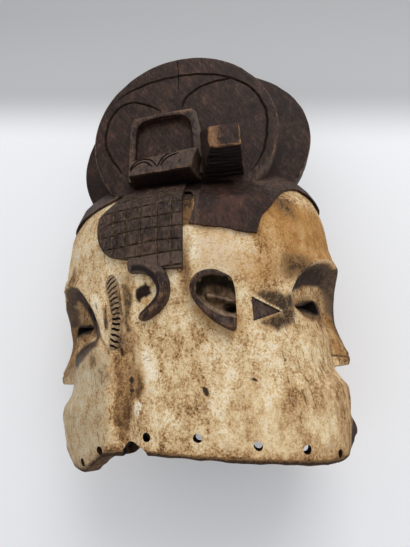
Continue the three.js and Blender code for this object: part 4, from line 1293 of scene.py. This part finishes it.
# Noise about 0, whose patches are about size millimetres wide and stretch times as long, leaning by lean
# degrees.
def patches(tree, size, detail=3.0, roughness=0.55, stretch=1.0, lean=0.0, seed=0):
    place = addNode(tree, "TexCoord", {}, "Object")
    turned = addNode(tree, "VectorRotate", {"Vector": place, "Angle": math.radians(lean)},
                     rotation_type="Z_AXIS")
    scale = 1000 / size
    scaled = addNode(tree, "Mapping", {"Vector": turned, "Location": (seed * 3.1, seed * 1.7, -seed * 2.3),
                                       "Scale": (scale, scale / stretch, scale)})
    noise = addNode(tree, "TexNoise", {"Vector": scaled, "Scale": 1.0, "Detail": detail,
                                       "Roughness": roughness})
    return addNode(tree, "Math", {0: noise, 1: 0.5}, operation="SUBTRACT")


# A start plus the sum of each value times its weight. A value that is a word is the mask's field of that
# name.
def total(tree, *terms, start=0.0):
    added = start
    for weight, value in terms:
        if isinstance(value, str):
            value = addNode(tree, "Attribute", {}, "Fac", attribute_name=value)
        added = addNode(tree, "Math", {0: value, 1: weight, 2: added}, operation="MULTIPLY_ADD")
    return added


# Lays colour over what is there: none of it where value is start, and strength of it where value is end.
# The value can be given as the terms of a total.
def over(tree, under, colour, value, start, end, strength=1.0):
    value = total(tree, *value) if isinstance(value, list) else value
    share = addNode(tree, "MapRange", {0: value, 1: start, 2: end, 4: strength},
                    interpolation_type="SMOOTHSTEP")
    return addNode(tree, "Mix", {0: share, 6: under, 7: colour}, 2, data_type="RGBA")


# A colour that runs through stops, each a place and a hex colour.
def colourAlong(tree, value, stops):
    colour = addNode(tree, "ValToRGB", {0: value})
    stripe = colour.node.color_ramp
    stripe.elements[0].color, stripe.elements[1].color = linear(stops[0][1]), linear(stops[-1][1])
    for at, hexColour in stops[1:-1]:
        stripe.elements.new(at).color = linear(hexColour)
    return colour


# An empty material and its node tree.
def newMaterial(name):
    material = bpy.data.materials.new(name)
    material.use_nodes = True
    material.node_tree.nodes.clear()
    return material, material.node_tree


# The shader itself: colour, roughness, and a height whose whole range is depth millimetres.
def shade(tree, colour, roughness, height=None, depth=0.2, specular=0.3):
    inputs = {"Base Color": colour, "Roughness": roughness, "IOR": 1.5, "Specular IOR Level": specular}
    if height is not None:
        bump = {"Height": height, "Distance": depth / 1000, "Strength": 1.0}
        inputs["Normal"] = addNode(tree, "Bump", bump)
    addNode(tree, "OutputMaterial", {"Surface": addNode(tree, "BsdfPrincipled", inputs)})


kaolin = {
    # From wood rubbed bare to fresh chalk
    "stops": [(0.0, "#5a4028"), (0.14, "#86633f"), (0.3, "#ad875c"), (0.45, "#c5a376"), (0.6, "#d6b98c"),
              (0.78, "#e7d0a8"), (1.0, "#f3e6cc")],
    "flaked": "#9c774f", "crumbs": "#f3e7cf", "warm": "#ba8545", "grey": "#8d8676", "sootAndShade": "#33261e",
    "sootThin": "#80613f", "crack": "#4d3825", "relief": 0.35,
    "pigment": "#382b24", "pigmentWorn": "#675445", "pigmentGrey": "#62574e", "pigmentShade": "#120705",
}


# Kaolin rubbed on carved wood in a thin coat: dead matt, pale and powdery where it stays, ochre and brown
# where hands, smoke and the wood's own oil have come through it. Its tone is a sum of noises and of the
# fields of age and of thick chalk, with the painted shade and painted highlights that these carry, and
# the layers go over it one by one.
def kaolinMaterial():
    material, tree = newMaterial("kaolin on carved wood")
    fine = patches(tree, 1.6, 3, 0.75, 1.1, seed=1)
    small = patches(tree, 5, 5, 0.75, 1.3, seed=2)
    streaks = patches(tree, 13, 4, 0.6, 1.9, seed=3)
    clouds = patches(tree, 34, 3, 0.55, 1.2, seed=4)
    cracks = patches(tree, 2.2, 3, 0.6, 9, lean=-12, seed=5)
    pits = patches(tree, 2.6, 2, 0.5, seed=6)
    flaked = patches(tree, 10, 6, 0.72, 1.7, lean=-8, seed=7)
    crumbs = patches(tree, 6, 6, 0.8, 1.3, seed=8)
    scratches = patches(tree, 1.8, 3, 0.6, 9, lean=82, seed=9)
    # The speckle fades where the coat is rubbed smooth
    kept = addNode(tree, "MapRange", {0: total(tree, (1, "calm")), 3: 1.0, 4: 0.55})
    speckle = total(tree, (1.75, fine), (1.7, small))
    speckle = addNode(tree, "Math", {0: speckle, 1: kept}, operation="MULTIPLY")
    tone = total(tree, (1, speckle), (1.25, streaks), (0.6, clouds), (-0.42, "ageAndShade"), (0.25, "thickChalkAndHighlight"),
                 start=0.56)
    colour = colourAlong(tree, tone, kaolin["stops"])
    sootAndShade = total(tree, (1, "sootAndShade"), (2.1, small), (1.5, fine))
    # The coat has flaked in sharp-edged patches, and crumbs of fresh chalk still stand on it. Soot, with the
    # painted shade and shadow it carries, goes on in two stages, brown where it is thin and black where it
    # is thick.
    for paint, value, start, end, strength in (
            ("flaked", [(1, flaked), (0.08, "ageAndShade"), (-0.05, "thickChalkAndHighlight"), (0.25, clouds)], 0.09, 0.15, 0.5),
            ("crumbs", [(1, crumbs), (0.09, "thickChalkAndHighlight"), (-0.12, "ageAndShade")], 0.1, 0.18, 0.7),
            ("warm", [(1, "warm"), (0.8, small), (1.1, clouds)], 0.1, 1.0, 0.6),
            ("grey", [(1, "grey"), (1.6, small), (1, streaks)], 0.2, 0.9, 0.45),
            ("flaked", [(1, scratches), (0.06, "thickChalkAndHighlight")], 0.17, 0.24, 0.6),
            ("crack", [(1, cracks), (0.13, "dry")], 0.2, 0.27, 0.7),
            ("sootThin", sootAndShade, 0.2, 0.6, 0.75),
            ("sootAndShade", sootAndShade, 0.45, 1.1, 0.95),
            ("sootAndShade", [(1, pits), (0.05, "ageAndShade")], 0.235, 0.29, 0.75)):
        colour = over(tree, colour, kaolin[paint], value, start, end, strength)
    # The black pigment of brows, lips and lids, browner where it is rubbed and greyed on the left face,
    # lighter on the brows' tops under a painted highlight and blacker under painted shade
    pigment = kaolin["pigment"]
    for paint, value, start, end, strength in (
            ("pigmentWorn", [(1, small), (0.8, fine), (0.35, "dustAndHighlight")], -0.02, 0.4, 1.0),
            # Painted shade darkens the pigment where little light would reach
            ("pigmentShade", [(1, "paintedShade")], 0.2, 1.0, 0.9),
            ("pigmentGrey", [(1, "grey"), (1.2, streaks)], 0.3, 0.7, 0.8)):
        pigment = over(tree, pigment, kaolin[paint], value, start, end, strength)
    colour = over(tree, colour, pigment, [(1, "pigment"), (3.2, small), (2.0, fine)], -1.0, 1.3)
    shade(tree, colour, 0.9, tone, kaolin["relief"], 0.15)
    return material


stained = {
    "stops": [(0.0, "#120a07"), (0.3, "#241711"), (0.55, "#33221b"), (0.8, "#473127"), (1.0, "#674b39")],
    "red": "#4e2b20", "dustAndHighlight": "#625146", "worn": "#866040", "bare": "#b08d60", "shadeBlack": "#120705",
    "relief": 0.3,
}


# The same wood stained almost black and polished by smoke and handling: a dull, slightly greasy sheen,
# red-brown where the stain is thin and tan along the edges, partly from wear and partly as painted
# highlights. Noises give its tone, and dust, wear, painted highlights and painted shade go over it.
def stainedMaterial():
    material, tree = newMaterial("wood stained dark, smoked and handled")
    fine = patches(tree, 1.3, 3, 0.7, 3, seed=11)
    small = patches(tree, 5, 4, 0.65, 2, seed=12)
    clouds = patches(tree, 28, 3, 0.6, 1.0, seed=13)
    scratches = patches(tree, 2.2, 2, 0.6, 14, lean=-35, seed=14)
    tone = total(tree, (1.1, fine), (1.0, small), (1.0, clouds), (0.7, scratches), start=0.47)
    colour = colourAlong(tree, tone, stained["stops"])
    wearAndHighlight = total(tree, (1, "wearAndHighlight"), (1.5, small), (1.0, fine))
    for paint, value, start, end, strength in (
            ("red", [(1, clouds), (0.7, small), (0.25, "warm")], 0.06, 0.45, 0.5),
            ("dustAndHighlight", [(1, "dustAndHighlight"), (1.8, small), (1.6, fine)], 0.1, 1.2, 0.7),
            ("worn", wearAndHighlight, 0.45, 1.0, 0.85),
            ("bare", wearAndHighlight, 0.95, 1.35, 0.8),
            # Painted shade, black where little light would reach
            ("shadeBlack", [(1, "paintedShade"), (0.6, small)], 0.1, 1.0, 0.9)):
        colour = over(tree, colour, stained[paint], value, start, end, strength)
    shade(tree, colour, 0.6, total(tree, (1, small), (0.8, fine)), stained["relief"], 0.18)
    return material


# Each kind of cut's dark and light
cutColours = {
    "stain and painted shade in the cuts": ("#1a110c", "#34241a"),
    "dusty cuts of net and scars": ("#3a2d24", "#7d6a54"),
}
# Each bladed surface from dark to light, and what they all are where they are worn or carry a painted
# highlight, and under painted shade
bladedColours = {
    "bare wood, darkened by smoke": ("#17100b", "#3a2a1e", "#6b5138"),
    "torn and dirty wood": ("#1d140e", "#4f3a29", "#876a4b"),
    "ear's bowl, its stain rubbed thin": ("#241910", "#68523d", "#a88d6c"),
    "worn": "#8b7563", "paintedShade": "#060403",
}


# The bottoms of the cuts: stain that no hand has polished, darkened further as painted shade, or, in the
# net and the upper scars, pale dust. One noise mixes the two colours.
def cutMaterial(name, seed):
    material, tree = newMaterial(name)
    dark, light = cutColours[name]
    colour = over(tree, dark, light, patches(tree, 5, 4, 0.65, seed=seed), -0.12, 0.2)
    shade(tree, colour, 0.85, specular=0.15)
    return material


# Wood worked only with the blade: brown, matt, streaked along the grain by a long noise, greyer where it
# is worn or carries a painted highlight, and black under painted shade.
def bladedMaterial(name, size, relief, seed):
    material, tree = newMaterial(name)
    fibres = patches(tree, size, 4, 0.7, 6, seed=seed)
    tone = total(tree, (1.6, fibres), (1.0, patches(tree, 16, 3, seed=seed + 1)), start=0.5)
    colour = colourAlong(tree, tone, [*zip((0.0, 0.5, 1.0), bladedColours[name])])
    colour = over(tree, colour, bladedColours["worn"], [(1, "wearAndHighlight"), (1.0, fibres)], 0.2, 1.0, 0.7)
    colour = over(tree, colour, bladedColours["paintedShade"], [(1, "paintedShade")], 0.0, 1.0, 0.95)
    shade(tree, colour, 0.85, fibres, relief, 0.1)
    return material


# Gives the mask its materials, in the order of chalk, stain, groove, netCut, inside, raw and bowlWood.
# The faces' places are put back, because clearing the list sets them to 0.
def dress(piece, materials):
    mesh = piece.data
    surfaces = np.empty(len(mesh.polygons), np.int32)
    mesh.polygons.foreach_get("material_index", surfaces)
    mesh.materials.clear()
    for material in materials:
        mesh.materials.append(material)
    mesh.polygons.foreach_set("material_index", surfaces)


dress(mask, [
    kaolinMaterial(),
    stainedMaterial(),
    cutMaterial("stain and painted shade in the cuts", 21),
    cutMaterial("dusty cuts of net and scars", 22),
    bladedMaterial("bare wood, darkened by smoke", 3.0, 0.3, 23),
    bladedMaterial("torn and dirty wood", 1.6, 0.8, 25),
    bladedMaterial("ear's bowl, its stain rubbed thin", 4.0, 0.4, 27),
])
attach(mask, "root")
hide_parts("helmet_mask")
print("materials")


# The studio: a flat pale sheet of paper with painted shade where a sweep would bend up, soft light from
# above the crest, and the camera over the mask

studio = {
    "floor": "#f3f3f4", "floorShadeBehind": "#b9b9ba", "floorShadeFar": "#acacad",
    "air": "#f2f4f7", "airStrength": 0.78,
    # Of the floor and the light, in the row frame's metres, and watts
    "floorReach": 4, "floorLevel": -0.0005,
    "lightAt": (0.55, 1.25, 1.6), "lightAim": (0, 0, 0.1), "lightSize": 1.2, "lightPower": 18,
    # Of the camera, in the mask's frame and millimetres, and its roll in degrees
    "cameraAt": (52.2, 50.2, 401.5), "lens": 26.0, "roll": 3.8,
    "back": (0.1005, -0.2756, 0.9560), "up": (0.0288, 0.9613, 0.2741), "right": (0.9945, 0.0, -0.1045),
}


# A flat square of paper with painted shade that darkens it away from the camera, standing in for the
# shade where paper would bend up behind the crest.
def floorPiece():
    reach, level = studio["floorReach"], studio["floorLevel"]
    mesh = bpy.data.meshes.new("paper")
    corners = [(-reach, -reach, level), (reach, -reach, level), (reach, reach, level), (-reach, reach, level)]
    mesh.from_pydata(corners, [], [(0, 1, 2, 3)])
    floor = newObject("paper", mesh)
    material, tree = newMaterial("white studio paper, curving up behind the crest")
    # The painted shade of the sheet's bend runs a little askew to the mask
    place = addNode(tree, "TexCoord", {}, "Object")
    away = addNode(tree, "VectorMath", {0: place, 1: (0.165, 1, 0)}, "Value", operation="DOT_PRODUCT")
    colour = over(tree, studio["floor"], studio["floorShadeBehind"], away, 0.2, 0.3)
    colour = over(tree, colour, studio["floorShadeFar"], away, 0.3, 0.5)
    shade(tree, colour, 0.9, specular=0.05)
    mesh.materials.append(material)


# A square area light that faces its aim, and an even light from all round.
def studioLights():
    light = bpy.data.lights.new("window above the crest", "AREA")
    light.shape, light.size, light.energy = "SQUARE", studio["lightSize"], studio["lightPower"]
    lamp = newObject(light.name, light)
    lamp.location = studio["lightAt"]
    toAim = Vector(studio["lightAim"]) - Vector(studio["lightAt"])
    lamp.rotation_euler = toAim.to_track_quat("-Z", "Y").to_euler()
    world = bpy.data.worlds.new("studio")
    world.use_nodes = True
    air = world.node_tree.nodes["Background"].inputs
    air["Color"].default_value, air["Strength"].default_value = linear(studio["air"]), studio["airStrength"]
    bpy.context.scene.world = world


# The camera, whose own right and up are turned by the roll about the line it looks along.
def studioCamera():
    data = bpy.data.cameras.new("camera")
    data.lens, data.sensor_width, data.sensor_fit = studio["lens"], 36, "AUTO"
    data.clip_start, data.clip_end = 0.01, 50
    camera = newObject("camera", data)
    cos, sin = math.cos(math.radians(studio["roll"])), math.sin(math.radians(studio["roll"]))
    right, up = np.array(studio["right"]), np.array(studio["up"])
    axes = np.array([cos * right - sin * up, sin * right + cos * up, studio["back"]])
    camera.matrix_world = Matrix.Translation(toRow(studio["cameraAt"])) @ Matrix(axes.T.tolist()).to_4x4()
    bpy.context.scene.camera = camera


floorPiece()
studioLights()
studioCamera()
bpy.context.scene.view_settings.view_transform = "Standard"
print("studio")
